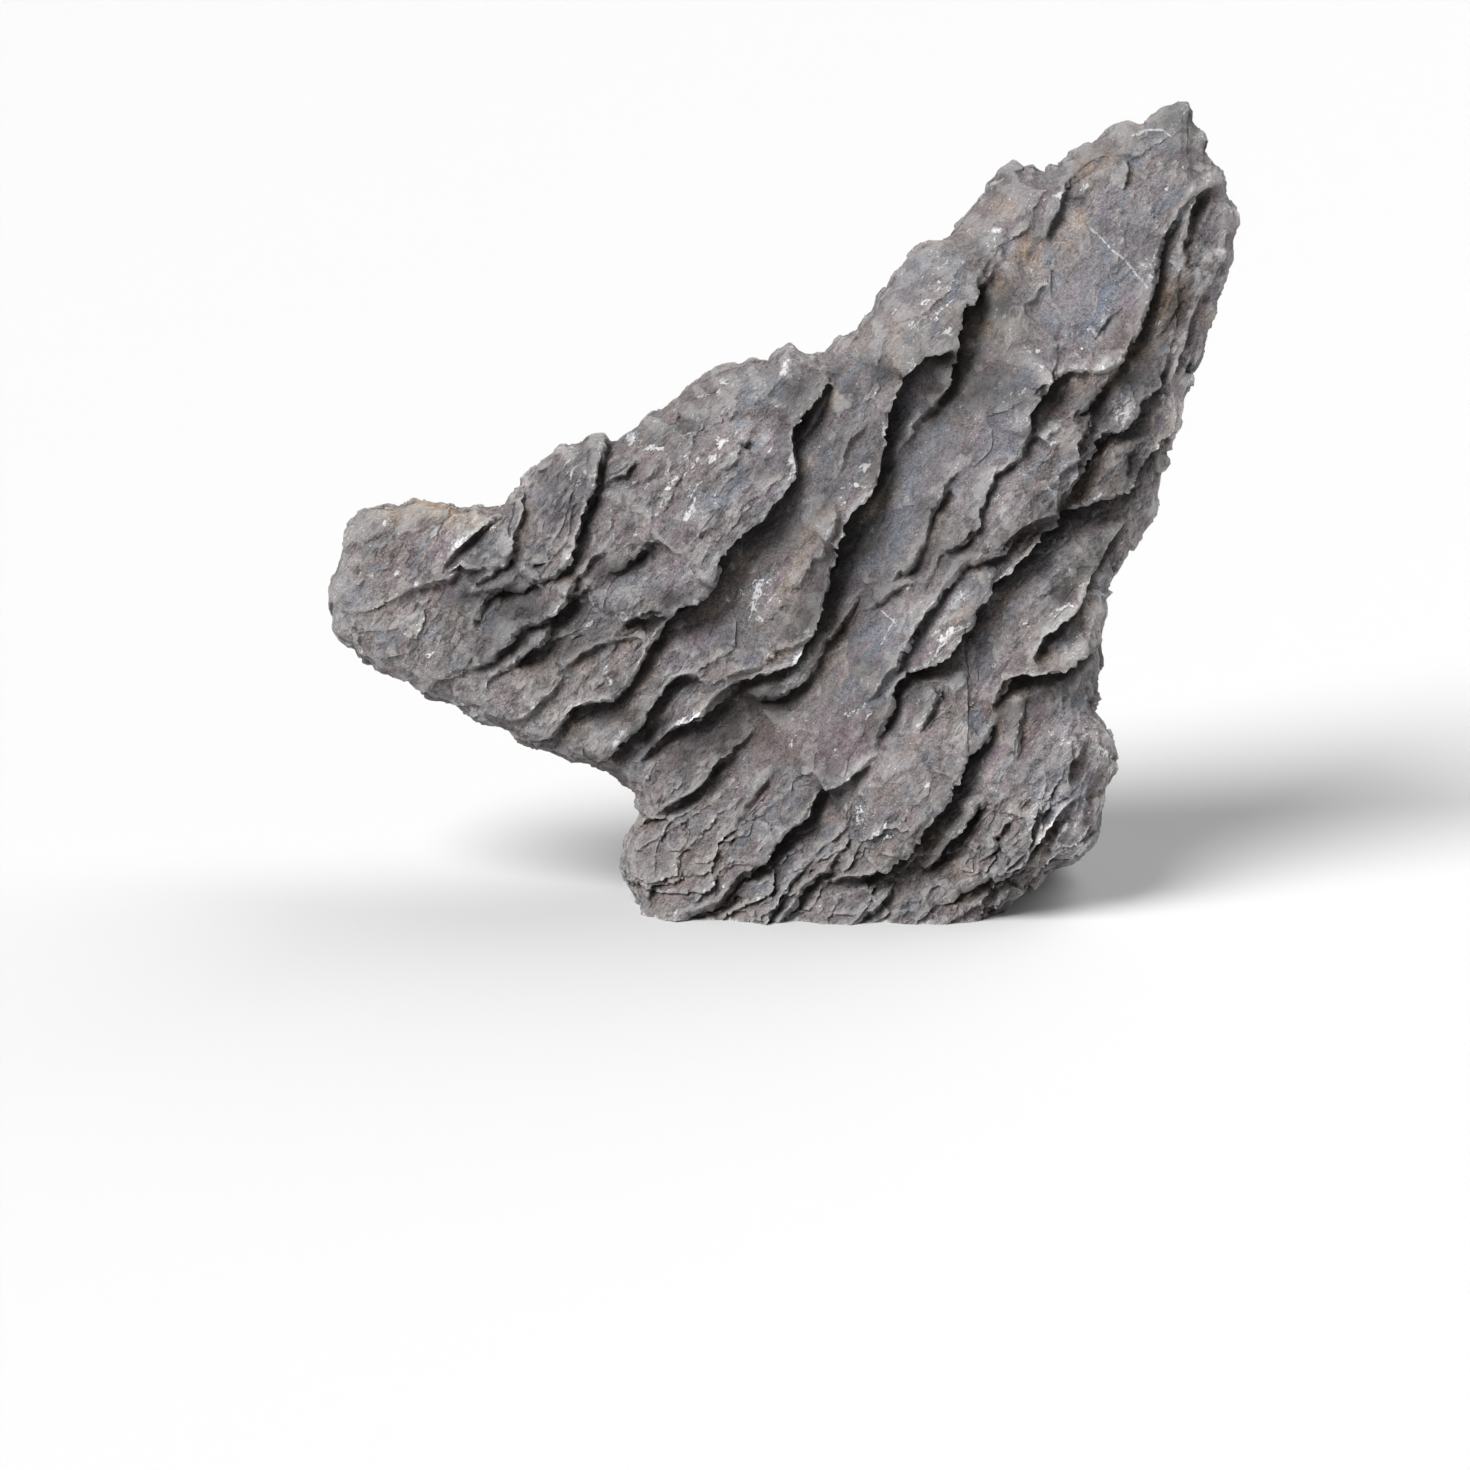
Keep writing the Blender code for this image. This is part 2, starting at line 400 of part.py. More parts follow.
def stand_up(points):
    """From the drawing's millimetres to the standing stone's metres, on the ground at z = 0."""
    lean = math.radians(LEAN_DEG)
    u, v, w = points.T
    v = v - GROUND_V
    w = w - GROUND_W
    x = u - CENTRE_X
    y = v * math.sin(lean) - w * math.cos(lean) - CENTRE_Y
    z = v * math.cos(lean) + w * math.sin(lean)
    return np.column_stack([x, y, z]) * MM


def prism():
    """The outline as a flat slab in the drawing's plane, in millimetres."""
    bm = bmesh.new()
    ring = [bm.verts.new((u, v, -PRISM_HALF)) for u, v in OUTLINE]
    face = bm.faces.new(ring)
    made = bmesh.ops.extrude_face_region(bm, geom=[face])
    top = [item for item in made["geom"] if isinstance(item, bmesh.types.BMVert)]
    bmesh.ops.translate(bm, verts=top, vec=(0, 0, 2 * PRISM_HALF))
    bmesh.ops.recalc_face_normals(bm, faces=bm.faces)
    mesh = bpy.data.meshes.new(NAME)
    bm.to_mesh(mesh)
    bm.free()
    return mesh


def with_modifier(mesh, kind, **settings):
    """The mesh that a modifier of that kind makes of this one."""
    holder = bpy.data.objects.new("holder", mesh)
    bpy.context.scene.collection.objects.link(holder)
    modifier = holder.modifiers.new(kind.title(), kind)
    for name, value in settings.items():
        setattr(modifier, name, value)
    graph = bpy.context.evaluated_depsgraph_get()
    made = bpy.data.meshes.new_from_object(holder.evaluated_get(graph))
    bpy.data.objects.remove(holder)
    bpy.data.meshes.remove(mesh)
    return made


def point_array(collection, name):
    values = np.empty(len(collection) * 3)
    collection.foreach_get(name, values)
    return values.reshape(-1, 3)


def set_points(mesh, points):
    mesh.vertices.foreach_set("co", points.ravel())
    mesh.update()


def edge_array(mesh):
    edges = np.empty(len(mesh.edges) * 2, np.int64)
    mesh.edges.foreach_get("vertices", edges)
    return edges.reshape(-1, 2)


def calm_normals(mesh):
    """The mesh's normals, evened out among neighbours so that nothing pushed out along them frays."""
    normals = point_array(mesh.vertex_normals, "vector")
    edges = edge_array(mesh)
    for _ in range(CALM_ROUNDS):
        normals = normals + neighbour_mean(normals, edges)
        normals /= np.linalg.norm(normals, axis=1)[:, None] + TINY
    return normals


def cut_foot(mesh):
    """Cuts the stone off flat at the ground and closes the cut."""
    bm = bmesh.new()
    bm.from_mesh(mesh)
    bmesh.ops.bisect_plane(
        bm, geom=bm.verts[:] + bm.edges[:] + bm.faces[:], dist=TINY,
        plane_co=Vector((0, 0, 0)), plane_no=Vector((0, 0, 1)), clear_inner=True,
    )
    rim = [edge for edge in bm.edges if edge.is_boundary]
    bmesh.ops.holes_fill(bm, edges=rim)
    bmesh.ops.triangulate(bm, faces=bm.faces)
    bmesh.ops.recalc_face_normals(bm, faces=bm.faces)
    bm.to_mesh(mesh)
    bm.free()


def stone_material():
    material = bpy.data.materials.new("grey_limestone")
    material.use_nodes = True
    shader = material.node_tree.nodes["Principled BSDF"]
    shader.inputs["Base Color"].default_value = STONE_GREY
    shader.inputs["Roughness"].default_value = STONE_ROUGHNESS
    shader.inputs["Metallic"].default_value = 0.0
    return material


def build_stone(collection):
    mesh = with_modifier(prism(), "REMESH", mode="VOXEL", voxel_size=FINE_VOXEL)
    set_points(mesh, shape(point_array(mesh.vertices, "co"), edge_array(mesh)))
    mesh = with_modifier(mesh, "REMESH", mode="VOXEL", voxel_size=FINE_VOXEL)
    points = point_array(mesh.vertices, "co")
    set_points(mesh, stand_up(broken_into_scales(points, calm_normals(mesh))))
    faces = 2 * len(mesh.polygons)
    mesh = with_modifier(mesh, "DECIMATE", ratio=TRIANGLES / faces)
    cut_foot(mesh)
    mesh.name = NAME
    mesh.materials.append(stone_material())
    mesh.shade_flat()
    stone = bpy.data.objects.new(NAME, mesh)
    collection.objects.link(stone)
    return stone


def main():
    for thing in list(bpy.data.objects):
        bpy.data.objects.remove(thing)
    collection = bpy.data.collections.new("dragon stone")
    bpy.context.scene.collection.children.link(collection)
    build_stone(collection)


main()
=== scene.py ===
"""The looks of a dragon stone: grey, bedded aquascaping rock with overlapping ledges.

The stone is drawn square on to its ledged face, in millimetres: u runs right, v up the face and w
out of it. The face leans back, so the drawing is turned to stand the stone up. The ledges are
raised on a fine mesh. Then the rock is broken into scales, and weathered in thin beds, scoops and
small broken faces, all of which are weaker on the lips.
"""

import math

import bmesh
import bpy
import numpy as np
from bpy.props import FloatProperty, FloatVectorProperty, PointerProperty
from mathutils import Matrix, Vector, noise
from mathutils.bvhtree import BVHTree


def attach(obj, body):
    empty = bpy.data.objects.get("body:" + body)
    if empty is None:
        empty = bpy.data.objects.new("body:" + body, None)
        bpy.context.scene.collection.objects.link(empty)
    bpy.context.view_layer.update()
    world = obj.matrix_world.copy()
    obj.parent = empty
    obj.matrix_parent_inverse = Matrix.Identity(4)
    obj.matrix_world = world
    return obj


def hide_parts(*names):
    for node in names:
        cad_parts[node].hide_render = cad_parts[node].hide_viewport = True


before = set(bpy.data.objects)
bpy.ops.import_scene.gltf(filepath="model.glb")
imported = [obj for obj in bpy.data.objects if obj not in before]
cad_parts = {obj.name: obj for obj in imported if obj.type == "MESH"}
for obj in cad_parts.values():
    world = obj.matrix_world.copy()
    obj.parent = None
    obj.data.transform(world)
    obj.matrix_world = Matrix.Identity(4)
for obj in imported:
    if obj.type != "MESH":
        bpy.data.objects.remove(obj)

bl_info = {
    "name": "Dragon Stone",
    "version": (1, 0, 0),
    "blender": (4, 5, 0),
    "location": "View3D > Sidebar > Dragon Stone",
    "description": "Builds a ledged aquascaping stone and a plain studio around it",
    "category": "Add Mesh",
}

MM = 0.001
NODE = "dragon_stone"
STONE = "dragon_stone_rock"
MOST_TRIANGLES = 190000
SHARP_DEG = 42.0

# How the drawing stands up: its lean, the place on it that the ground passes through, and what
# brings the stone's middle to the origin, in millimetres.
LEAN_DEG = 14.0
GROUND_V = 5.0
GROUND_W = 38.0
CENTRE_X = 1.2
CENTRE_Y = 62.6

# The body: half the prism's thickness, how far in from its edge the stone rounds off, how thick it
# is at the edge, as a share, and how far the places of GIRTH reach.
PRISM_HALF = 40.0
FRONT_ROUNDING = 15.0
BACK_ROUNDING = 46.0
FRONT_RIM_SHARE = 0.50
BACK_RIM_SHARE = 0.30
GIRTH_REACH = 38.0

# The beds dip along RUN, across the lips, and step down on the back.
RUN = np.array([0.77, -0.64])
BED_SLOPE = 0.20
BED_STEP = 11.0
BED_RISER = 0.30
BED_WANDER = 7.0
BED_WANDER_SIZE = 45.0
BED_WANDER_SEED = 3

# The form of a ledge, in millimetres and in shares of its drop.
LIFT_SHARE = 0.55
PLATE_WIDTH_PER_DROP = 4.6
PLATE_WIDTH_LEAST = 12.0
FLOOR_WIDTH_PER_DROP = 2.3
FLOOR_WIDTH_LEAST = 4.0
FLOOR_CURVE = 1.2
UNDERCUT = 0.2
UNDERCUT_REACH = 7.0
OVERHANG = 0.65
OVERHANG_REACH = 9.0
OVERHANG_FROM = 5.0
OVERHANG_FULL = 12.0
SET_BACK = 0.8
SMALL_LEDGE = 0.50
SMALL_LEDGE_DROP = 3.0
FULL_LEDGE_DROP = 9.0
EASE_FROM = 2.5
EASE_REACH = 10.0
EASE_ROUNDS = 100

# The edge of the stone, clockwise from the low corner of the west shoulder.
OUTLINE = [
    (-148, 117), (-146.5, 124), (-145, 130), (-145, 136), (-142.5, 140), (-139, 142.5), (-135, 144),
    (-131, 144.3), (-127, 143.6), (-122, 144.8), (-116, 144), (-111, 142.6), (-108, 142), (-102.5, 142.5),
    (-101, 144), (-99, 142.5), (-91, 143), (-89.5, 147.5), (-86, 149.5), (-85, 153.5), (-81, 156),
    (-78.5, 159), (-75, 161), (-73, 164), (-66, 164.5), (-64, 166.5), (-61, 168), (-58, 167.5),
    (-56, 164.5), (-52.5, 165.5), (-49, 168.5), (-46, 170), (-45, 173), (-41, 174.5), (-37, 176),
    (-35, 178.5), (-31.5, 181), (-30, 184), (-26, 186), (-23, 188.5), (-16, 190.5), (-13, 190),
    (-10, 191.8), (-4, 191), (-1, 194), (3, 196.3), (4.5, 194), (8, 192.8), (11, 192.5), (13, 193.5),
    (15, 193), (18, 196), (20, 198.5), (24.5, 200), (27, 201.5), (28.5, 205), (31.5, 208), (33, 212),
    (36.5, 216.5), (38.5, 221.5), (41.5, 224.5), (43, 227.5), (46.5, 229.8), (50, 231), (54, 231.5),
    (57.5, 233), (59, 236), (62.5, 240), (65, 242), (67, 244.5), (70, 247.5), (70.5, 251), (73, 253),
    (74, 256), (78, 258.3), (80.5, 255.8), (84, 257), (86, 255), (89.5, 254.8), (90.2, 257.8),
    (92.5, 256.5), (94, 258.5), (97, 260.5), (99, 263.3), (102, 264.8), (104, 264.6), (107, 266.5),
    (109.5, 269.5), (113, 271.5), (115.5, 272.2), (118, 270.8), (122, 271), (124, 273.5), (127.5, 276),
    (131, 277.3), (133, 278.6), (136, 279), (137.6, 275.5), (136.6, 272.5), (138.5, 269.8), (141.3, 269),
    (142.2, 266), (141.6, 263), (143.5, 259), (146, 256), (147.5, 252.5), (148, 247), (150.8, 243.5),
    (151, 236), (149.8, 232), (150, 226.5), (147.8, 222), (147.4, 218), (145, 213), (145, 209),
    (142.6, 204), (142, 199.5), (140, 194), (136, 190.5), (136.4, 185), (133.4, 181), (133, 176),
    (131.8, 171.5), (128, 167), (127.6, 160.5), (125.6, 155), (124.6, 149.5), (124, 142.5), (121, 138.5),
    (117.5, 134.5), (113, 128.5), (109.6, 122), (107.3, 117), (107.4, 108.5), (105, 102.5), (105.2, 92),
    (103, 83), (103.2, 75.5), (107, 72), (109.8, 66), (110.4, 58), (106.4, 50.5), (105, 43), (103.4, 33),
    (97, 27), (90, 25), (83, 18), (76, 12), (69, 7), (66, 0), (62, -14), (-44, -14), (-49, 2), (-47, 13),
    (-52, 24), (-50, 34), (-45, 42), (-47, 50), (-55, 56), (-62, 59), (-69, 60), (-76, 63), (-84, 65),
    (-91, 71), (-100, 73), (-109, 79), (-117, 81), (-125, 87), (-134, 90), (-140, 98), (-147, 103),
]

# How far the stone comes out of the drawing's plane in front of it, and goes behind it, at places
# across the face: u, v, front, back.
GIRTH = [
    (-132, 122, 13, 27), (-100, 122, 17, 36), (-72, 140, 25, 40), (-66, 92, 20, 44), (-30, 165, 28, 40),
    (-20, 120, 32, 50), (-30, 76, 22, 56), (15, 165, 28, 42), (30, 110, 31, 54), (45, 210, 24, 34),
    (70, 165, 31, 46), (100, 225, 25, 34), (128, 262, 15, 20), (138, 225, 17, 28), (112, 160, 22, 38),
    (80, 105, 30, 50), (100, 54, 40, 56), (45, 55, 34, 64), (0, 50, 24, 66), (10, 5, 34, 74),
    (55, 10, 34, 72), (-36, 12, 26, 64),
]

# The ledges of the face. Each is walked down its lip, with the overlapping plate on the west and
# the lower floor on the east: u, v and the drop from the lip to the floor.
LEDGES = {
    "west_shoulder": [(-57, 170, 5), (-58.5, 160, 6), (-61, 151, 6), (-63, 144, 6), (-65, 137, 6),
                      (-68, 129, 6), (-72, 123, 6), (-75, 121, 5), (-82, 119, 5), (-90, 117, 5),
                      (-98, 115, 4), (-106, 113, 0)],
    "west_flake": [(-84, 152, 3), (-85, 143, 4), (-87.5, 136, 4), (-88.5, 129, 5), (-91, 126, 5),
                   (-95, 121.5, 4), (-99, 118, 3), (-102, 116, 0)],
    "shoulder_curl": [(-74, 128, 0), (-79, 126.5, 2.5), (-82, 125, 3), (-84, 122, 2), (-85.5, 120, 0)],
    "shoulder_step": [(-90, 143, 0), (-96, 139, 4), (-100, 136, 5), (-104, 132, 5), (-108, 128.5, 4),
                      (-111, 125, 3), (-113, 121, 0)],
    "shoulder_hollow": [(-91, 128, 0), (-96, 124, 3), (-101, 123, 4), (-106, 123, 4), (-111, 120, 0)],
    "lump_step": [(-103, 127, 0), (-104, 122, 2), (-108, 119, 4), (-114, 117.5, 4), (-121, 117, 3),
                  (-128, 113, 2), (-136, 110, 0)],
    "west_apron": [(-67, 121, 0), (-68.5, 116, 5), (-70, 112, 7), (-74, 108.5, 7), (-79, 106, 5),
                   (-84, 105.5, 5), (-88, 102.5, 6), (-91, 98, 6), (-98, 92, 4), (-106, 88, 0)],
    "west_chip": [(-75, 106, 0), (-77.5, 101.5, 6), (-80, 97.5, 7), (-84, 94, 7), (-89, 91.5, 4),
                  (-94, 88, 3), (-99, 83, 0)],
    "long_west_lip": [(19, 183.5, 0), (15, 182, 8), (10.5, 178.5, 10), (7, 174, 10), (4.5, 169.5, 7),
                      (5, 160, 6), (4, 152, 7), (1.5, 147.5, 9), (-2.5, 141.5, 11), (-6.5, 137, 12),
                      (-11, 133.5, 13), (-15.5, 130, 13), (-19.5, 126, 13), (-21.5, 119.5, 13),
                      (-24.5, 114.5, 13), (-28, 111.5, 12), (-35.5, 109.5, 10), (-37.5, 104.5, 8),
                      (-41, 99, 7), (-46, 91, 6), (-52, 84, 6), (-56, 79.5, 7), (-62, 78.5, 7),
                      (-67, 77.5, 7), (-70, 74, 6), (-75, 68, 5), (-80, 64, 4)],
    "lobe_fold": [(3, 173, 0), (5.5, 177, 3), (11, 181.5, 4), (16, 183, 3), (20, 187, 0)],
    "lobe_chip": [(-7, 164.5, 0), (-10, 163.5, 3), (-13, 162, 3), (-14, 159, 2), (-17, 157, 3),
                  (-20, 155.5, 2), (-23, 153, 0)],
    "lobe_crease": [(-20, 141, 0), (-23.5, 137, 3), (-27, 134, 3), (-28.5, 130.5, 0)],
    "lobe_nick": [(-34, 150, 0), (-35.5, 146, 2.5), (-37, 142.5, 0)],
    "lobe_bruise": [(-26, 169, 0), (-29, 171, 1.5), (-34, 172, 2), (-39, 172, 1.5), (-43, 171, 0)],
    "west_scar": [(-44, 159.5, 0), (-48, 157, 3), (-51, 154.5, 4), (-55, 152.5, 3), (-58, 149.5, 0)],
    "west_scar_foot": [(-39, 158, 0), (-42, 154, 2), (-45.5, 151.5, 2), (-49, 150, 0)],
    "saddle_lens": [(-55, 126.5, 0), (-59, 128, 3), (-62.5, 126, 4), (-64, 122, 4), (-67, 119.5, 3),
                    (-69.5, 117, 0)],
    "west_shelf": [(-36, 129, 0), (-42, 130.5, 4), (-46, 129.5, 6), (-50, 127, 6), (-54, 123.5, 5),
                   (-58, 121, 3), (-62, 119, 0)],
    "saddle_crack": [(-57, 118.5, 0), (-62, 117, 3), (-66, 115, 4), (-70, 111.5, 4), (-75, 107, 3),
                     (-79, 103, 0)],
    "west_pocket": [(-36, 112, 0), (-40, 109.5, 4), (-45, 108, 6), (-49.5, 106.5, 6), (-52, 103, 3),
                    (-56, 101, 0)],
    "west_wrinkle": [(-57, 106, 0), (-64, 103.5, 2), (-70, 101.5, 2.5), (-75, 100.5, 3), (-78, 97, 2),
                     (-82, 92, 0)],
    "west_plate": [(-44, 100.5, 0), (-50, 99.5, 2.5), (-56, 98.5, 3), (-61, 97, 4), (-65, 94.5, 4),
                   (-69, 90.5, 3), (-74, 86, 0)],
    "west_ripple": [(-52, 92, 0), (-57, 88.5, 2), (-60, 85, 2), (-64, 83, 0)],
    "west_curl": [(-68, 90, 0), (-72, 86, 3), (-75, 81, 4), (-80, 77, 4), (-86, 74, 3), (-92, 72, 0)],
    "tongue": [(-23, 84, 0), (-28, 88, 5), (-32, 87, 7), (-36, 84.5, 7), (-40, 81, 8), (-42.5, 77, 8),
               (-43.5, 73, 8), (-46, 70, 8), (-50, 67, 7), (-54, 64.5, 7), (-58, 60, 6), (-62, 55, 5)],
    "knob": [(-11, 84.5, 0), (-16, 82, 4), (-22, 78.5, 6), (-26, 74.5, 7), (-29, 72, 8), (-34, 70.5, 7),
             (-38, 67, 5), (-43, 63, 4), (-47, 59, 0)],
    "plate_seam": [(27, 172.5, 0), (24.5, 168, 3), (22, 162, 3), (18.5, 154, 2), (17, 149, 0)],
    "plate_seam_low": [(21, 147.5, 0), (17.5, 144.5, 3), (15.5, 140, 4), (12.5, 133, 4), (9.5, 127, 4),
                       (6, 120, 3), (3, 115, 0)],
    "long_middle_lip": [(72, 235, 0), (71, 229, 2), (69.5, 224, 2), (66.5, 218, 3), (62.5, 213, 4),
                        (59.5, 207, 5), (57, 201.5, 6), (55, 198, 7), (51, 194.5, 8), (47.5, 191.5, 9),
                        (44, 187.5, 10), (39.5, 181.5, 10), (36, 173, 10), (35, 166, 9), (33, 158, 9),
                        (30, 150, 9), (25.5, 142.5, 10), (21.5, 136.5, 12), (18.5, 128, 13),
                        (16.5, 119, 13), (13, 109, 12), (10, 101, 11), (7.5, 96, 10), (4, 92, 9),
                        (-1, 90, 8), (-5, 88, 7), (-11, 86, 7), (-17, 83.5, 6), (-24, 78, 4), (-30, 72, 0)],
    "layer_strip": [(11, 119, 0), (9.5, 112, 3), (8, 107, 4), (6, 103, 4), (3, 100, 3), (-2, 96.5, 3),
                    (-8, 91.5, 3), (-16, 87, 3), (-22, 86, 0)],
    "strip_edge": [(27, 116, 0), (23, 110, 4), (18.5, 103.5, 5), (14, 98, 5), (11.5, 93, 5), (9.5, 89, 0)],
    "hanging_chip": [(11, 98, 0), (9, 91, 5), (7, 86.5, 6), (3.5, 83.5, 6), (-1, 81.5, 6), (-7, 80.5, 5),
                     (-13, 82.5, 0)],
    "throat": [(75, 236, 0), (73, 227, 1), (71, 220, 2), (67, 216, 4.5), (63, 211.5, 9), (60, 207, 11),
               (58.5, 202, 11), (57.5, 196, 10), (57, 190.5, 9), (56, 186, 8), (54, 180.5, 7),
               (50.5, 175.5, 5), (46, 172.5, 4), (42, 165.5, 4), (38, 160, 3), (34, 156, 2), (31, 151, 0)],
    "hollow_lens": [(69, 197, 0), (65, 196, 2), (61, 194, 0)],
    "crown_lip": [(143, 250, 2), (136, 246, 3), (132, 243, 3), (129.5, 239, 4), (127, 234.5, 5),
                  (125, 229, 5), (123, 222, 6), (122.5, 215, 6.5), (120.5, 208, 6.5), (118.5, 202, 7),
                  (115.5, 196, 6.5), (112, 191, 5), (107, 187.5, 4), (102, 187, 3), (98.5, 186, 4),
                  (95, 187, 5), (92.5, 186, 7), (90, 182.5, 10), (85, 178, 10), (81.5, 173, 8),
                  (80.5, 167, 5), (79.5, 161, 4), (75, 157.5, 4), (71, 154, 4), (67.5, 148.5, 4),
                  (66, 143, 4), (65, 138, 4), (62, 134, 5), (59, 131.5, 5), (56, 129.5, 4),
                  (52.5, 128.5, 3), (50, 123, 3), (47, 118, 3), (45.5, 113, 0)],
    "crown_fissure": [(112.5, 209, 0), (109, 205, 2), (106, 201.5, 2), (103.5, 199, 0)],
    "crown_scoop": [(92.5, 215, 0), (89, 216, 1), (86, 214.5, 3), (84, 212, 3), (82, 210, 1.5),
                    (79, 207.5, 0)],
    "crown_crease": [(125, 237, 0), (120, 235.5, 1), (115, 235, 1), (112, 232.5, 0)],
    "crest_notch": [(97.5, 255, 0), (95.5, 250, 4), (93.5, 245.5, 5), (91.5, 241.5, 5), (90, 238, 4),
                    (89, 234, 4), (88.5, 230.5, 0)],
    "crest_nick": [(113, 261.5, 0), (114.5, 257, 3), (115.5, 254, 3), (114.5, 250.5, 3), (113.5, 247, 0)],
    "crest_hollow": [(110, 253, 0), (106, 251, 1), (102, 249, 2), (99, 246.5, 2), (95, 244.5, 0)],
    "peak_fold": [(136, 281, 0), (134.5, 275, 2), (135, 270, 2), (134, 265, 1), (135.5, 259, 0)],
    "peak_edge": [(143, 270, 0), (141.5, 265, 4), (141, 260, 3), (139.5, 257, 0)],
    "east_strip": [(144, 252, 0), (141, 249, 4), (138, 246, 6), (136.5, 242, 6), (135, 237, 5),
                   (133.8, 231, 4), (134, 226, 3), (135.5, 220, 0)],
    "east_fin": [(143, 222, 0), (140.5, 216, 4), (138, 210, 5), (136, 203, 5), (135, 197, 6),
                 (132.5, 191, 5), (130, 186, 3), (128, 181, 0)],
    "east_slot": [(130, 196, 0), (127.5, 190, 4), (125, 184.5, 6), (121, 180.5, 7), (118.5, 175, 7),
                  (115.5, 171, 7), (111.5, 169, 6), (107, 167, 6), (103, 163.5, 7), (100, 159, 8),
                  (98, 155, 8), (94.5, 151.5, 7), (91, 148.5, 6), (88, 145, 0)],
    "inner_chip": [(114, 192, 0), (109, 186, 5), (104.5, 181, 6), (101, 177.5, 7), (98, 174.5, 5),
                   (94.5, 171, 0)],
    "inner_step": [(105, 176.5, 0), (103, 171, 5), (100.5, 167, 6), (98, 163, 7), (97.5, 160, 5),
                   (94, 156.5, 3), (90, 152, 0)],
    "inner_line": [(95, 169.5, 0), (91, 167.5, 2.5), (87.5, 166, 2.5), (83.5, 163.5, 0)],
    "inner_curl": [(94, 152, 0), (90, 149.5, 2), (88.5, 146, 3), (86.5, 141.5, 3), (83.5, 139, 2),
                   (80, 137.5, 0)],
    "east_scale": [(119, 167, 0), (114.5, 163.5, 3), (111.5, 160.5, 4), (110, 156, 3), (108, 151.5, 0)],
    "faint_fold": [(64, 161, 0), (60, 156, 2), (56, 150.5, 4), (53, 147, 5), (50.5, 143, 5), (48.5, 137, 4),
                   (46.5, 130.5, 4), (43, 125, 5), (40, 121.5, 5), (37, 118, 0)],
    "low_fold": [(48, 119, 0), (42, 117, 3), (38, 115.5, 4), (34, 112.5, 4), (30, 110, 3), (25, 108, 0)],
    "long_east_lip": [(133, 170, 4), (127, 165.5, 8), (124, 162, 9), (120.5, 158, 10), (117, 154, 11),
                      (113, 149, 12), (108, 147, 13), (104, 146, 13), (101, 144, 13), (96, 143, 13),
                      (92, 141.5, 12), (89, 137, 12), (86, 132, 12), (82, 127.5, 12), (78, 125, 11),
                      (74, 121.5, 11), (70.5, 118.5, 11), (67.5, 114, 11), (64, 109, 11), (61, 103.5, 10),
                      (58, 98, 10), (54, 94, 9), (50, 91, 8), (45, 89.5, 7), (40.5, 87.5, 7), (37.5, 83, 7),
                      (35.5, 77.5, 6), (33, 70, 5), (30, 63, 0)],
    "scaly_lip": [(93, 148, 0), (89.5, 144, 4), (85.5, 142, 5), (80.5, 139, 6), (77, 136, 6.5),
                  (73.5, 133, 6.5), (69.5, 128.5, 6), (64.5, 127, 5), (59.5, 125.5, 5), (56.5, 121, 5),
                  (53, 117, 5), (48.5, 110.5, 6), (45, 104.5, 6), (42, 99, 6), (39, 93, 5), (35, 89, 4),
                  (31, 83, 4), (27.5, 78, 0)],
    "scaly_spur": [(69, 127, 0), (67.5, 124.5, 4), (66, 121, 4), (64, 117, 0)],
    "east_gill": [(114, 139, 0), (111, 134, 5), (108, 130, 7), (104.5, 124, 8), (101.5, 119, 8),
                  (100, 113, 7), (96, 108, 7), (92, 105, 7), (88.5, 101.5, 7), (85.5, 97.5, 6), (83, 94, 4),
                  (79, 90, 0)],
    "east_overhang": [(110, 100, 6), (104, 97, 8), (99.5, 93.5, 9), (95, 90, 9), (92.5, 88.5, 8),
                      (90.5, 90, 7), (86, 88.5, 8), (81, 88, 8), (75.5, 86.5, 8), (72, 84, 6),
                      (69.5, 80, 5), (68.5, 75, 0)],
    "low_notch": [(54, 85, 0), (51, 81, 4), (49, 76.5, 5), (46.5, 72.5, 4), (44, 69, 0)],
    "low_seam": [(61.5, 92, 0), (62, 82, 2), (62, 70, 2), (61.5, 62, 0)],
    "low_fissure": [(-2, 75.5, 0), (3, 76, 1.5), (8, 76.5, 1.5), (13, 78.5, 0)],
    "low_crack": [(71, 77, 0), (68.5, 71, 4), (67, 67, 6), (64, 64.5, 7), (60.5, 62, 8), (58, 57.5, 9),
                  (55.8, 52, 10), (53, 46, 10), (50, 42, 10), (46.5, 38, 10), (43.5, 33.5, 10),
                  (40, 28.5, 9), (35, 24, 8), (29, 22, 6), (22, 21, 5), (12, 18, 0)],
    "low_rib": [(57.5, 57, 0), (55, 52, 3), (54, 46, 3), (52, 41, 0)],
    "knee_notch": [(101.5, 68, 0), (98.5, 62.5, 4), (96.5, 57.5, 5), (95.5, 51, 3), (93, 46, 0)],
    "knee_crack": [(82.5, 84, 0), (79.5, 77, 3), (78.8, 70, 4), (77.5, 64, 4), (75, 59, 0)],
    "knee_slit": [(102, 54, 0), (101, 49, 3), (100.5, 43, 2), (98.5, 38, 0)],
    "hidden_shelf": [(-4, 74, 0), (-12, 66, 3), (-20, 60, 6), (-26, 52, 6), (-33, 47, 6), (-41, 42, 5),
                     (-50, 37, 4)],
    "hidden_lip": [(34, 66, 0), (28, 60, 3), (22, 52, 5), (14, 48, 6), (9, 40, 7), (1, 36, 7), (-6, 27, 7),
                   (-15, 22, 6), (-22, 13, 6), (-31, 9, 5), (-38, 0, 5)],
    "hidden_fold": [(2, 60, 0), (-5, 52, 4), (-12, 45, 4), (-17, 37, 3), (-24, 32, 0)],
    "foot_step": [(22, 32, 0), (16, 24, 5), (8, 18, 5), (2, 8, 5), (-6, 0, 5)],
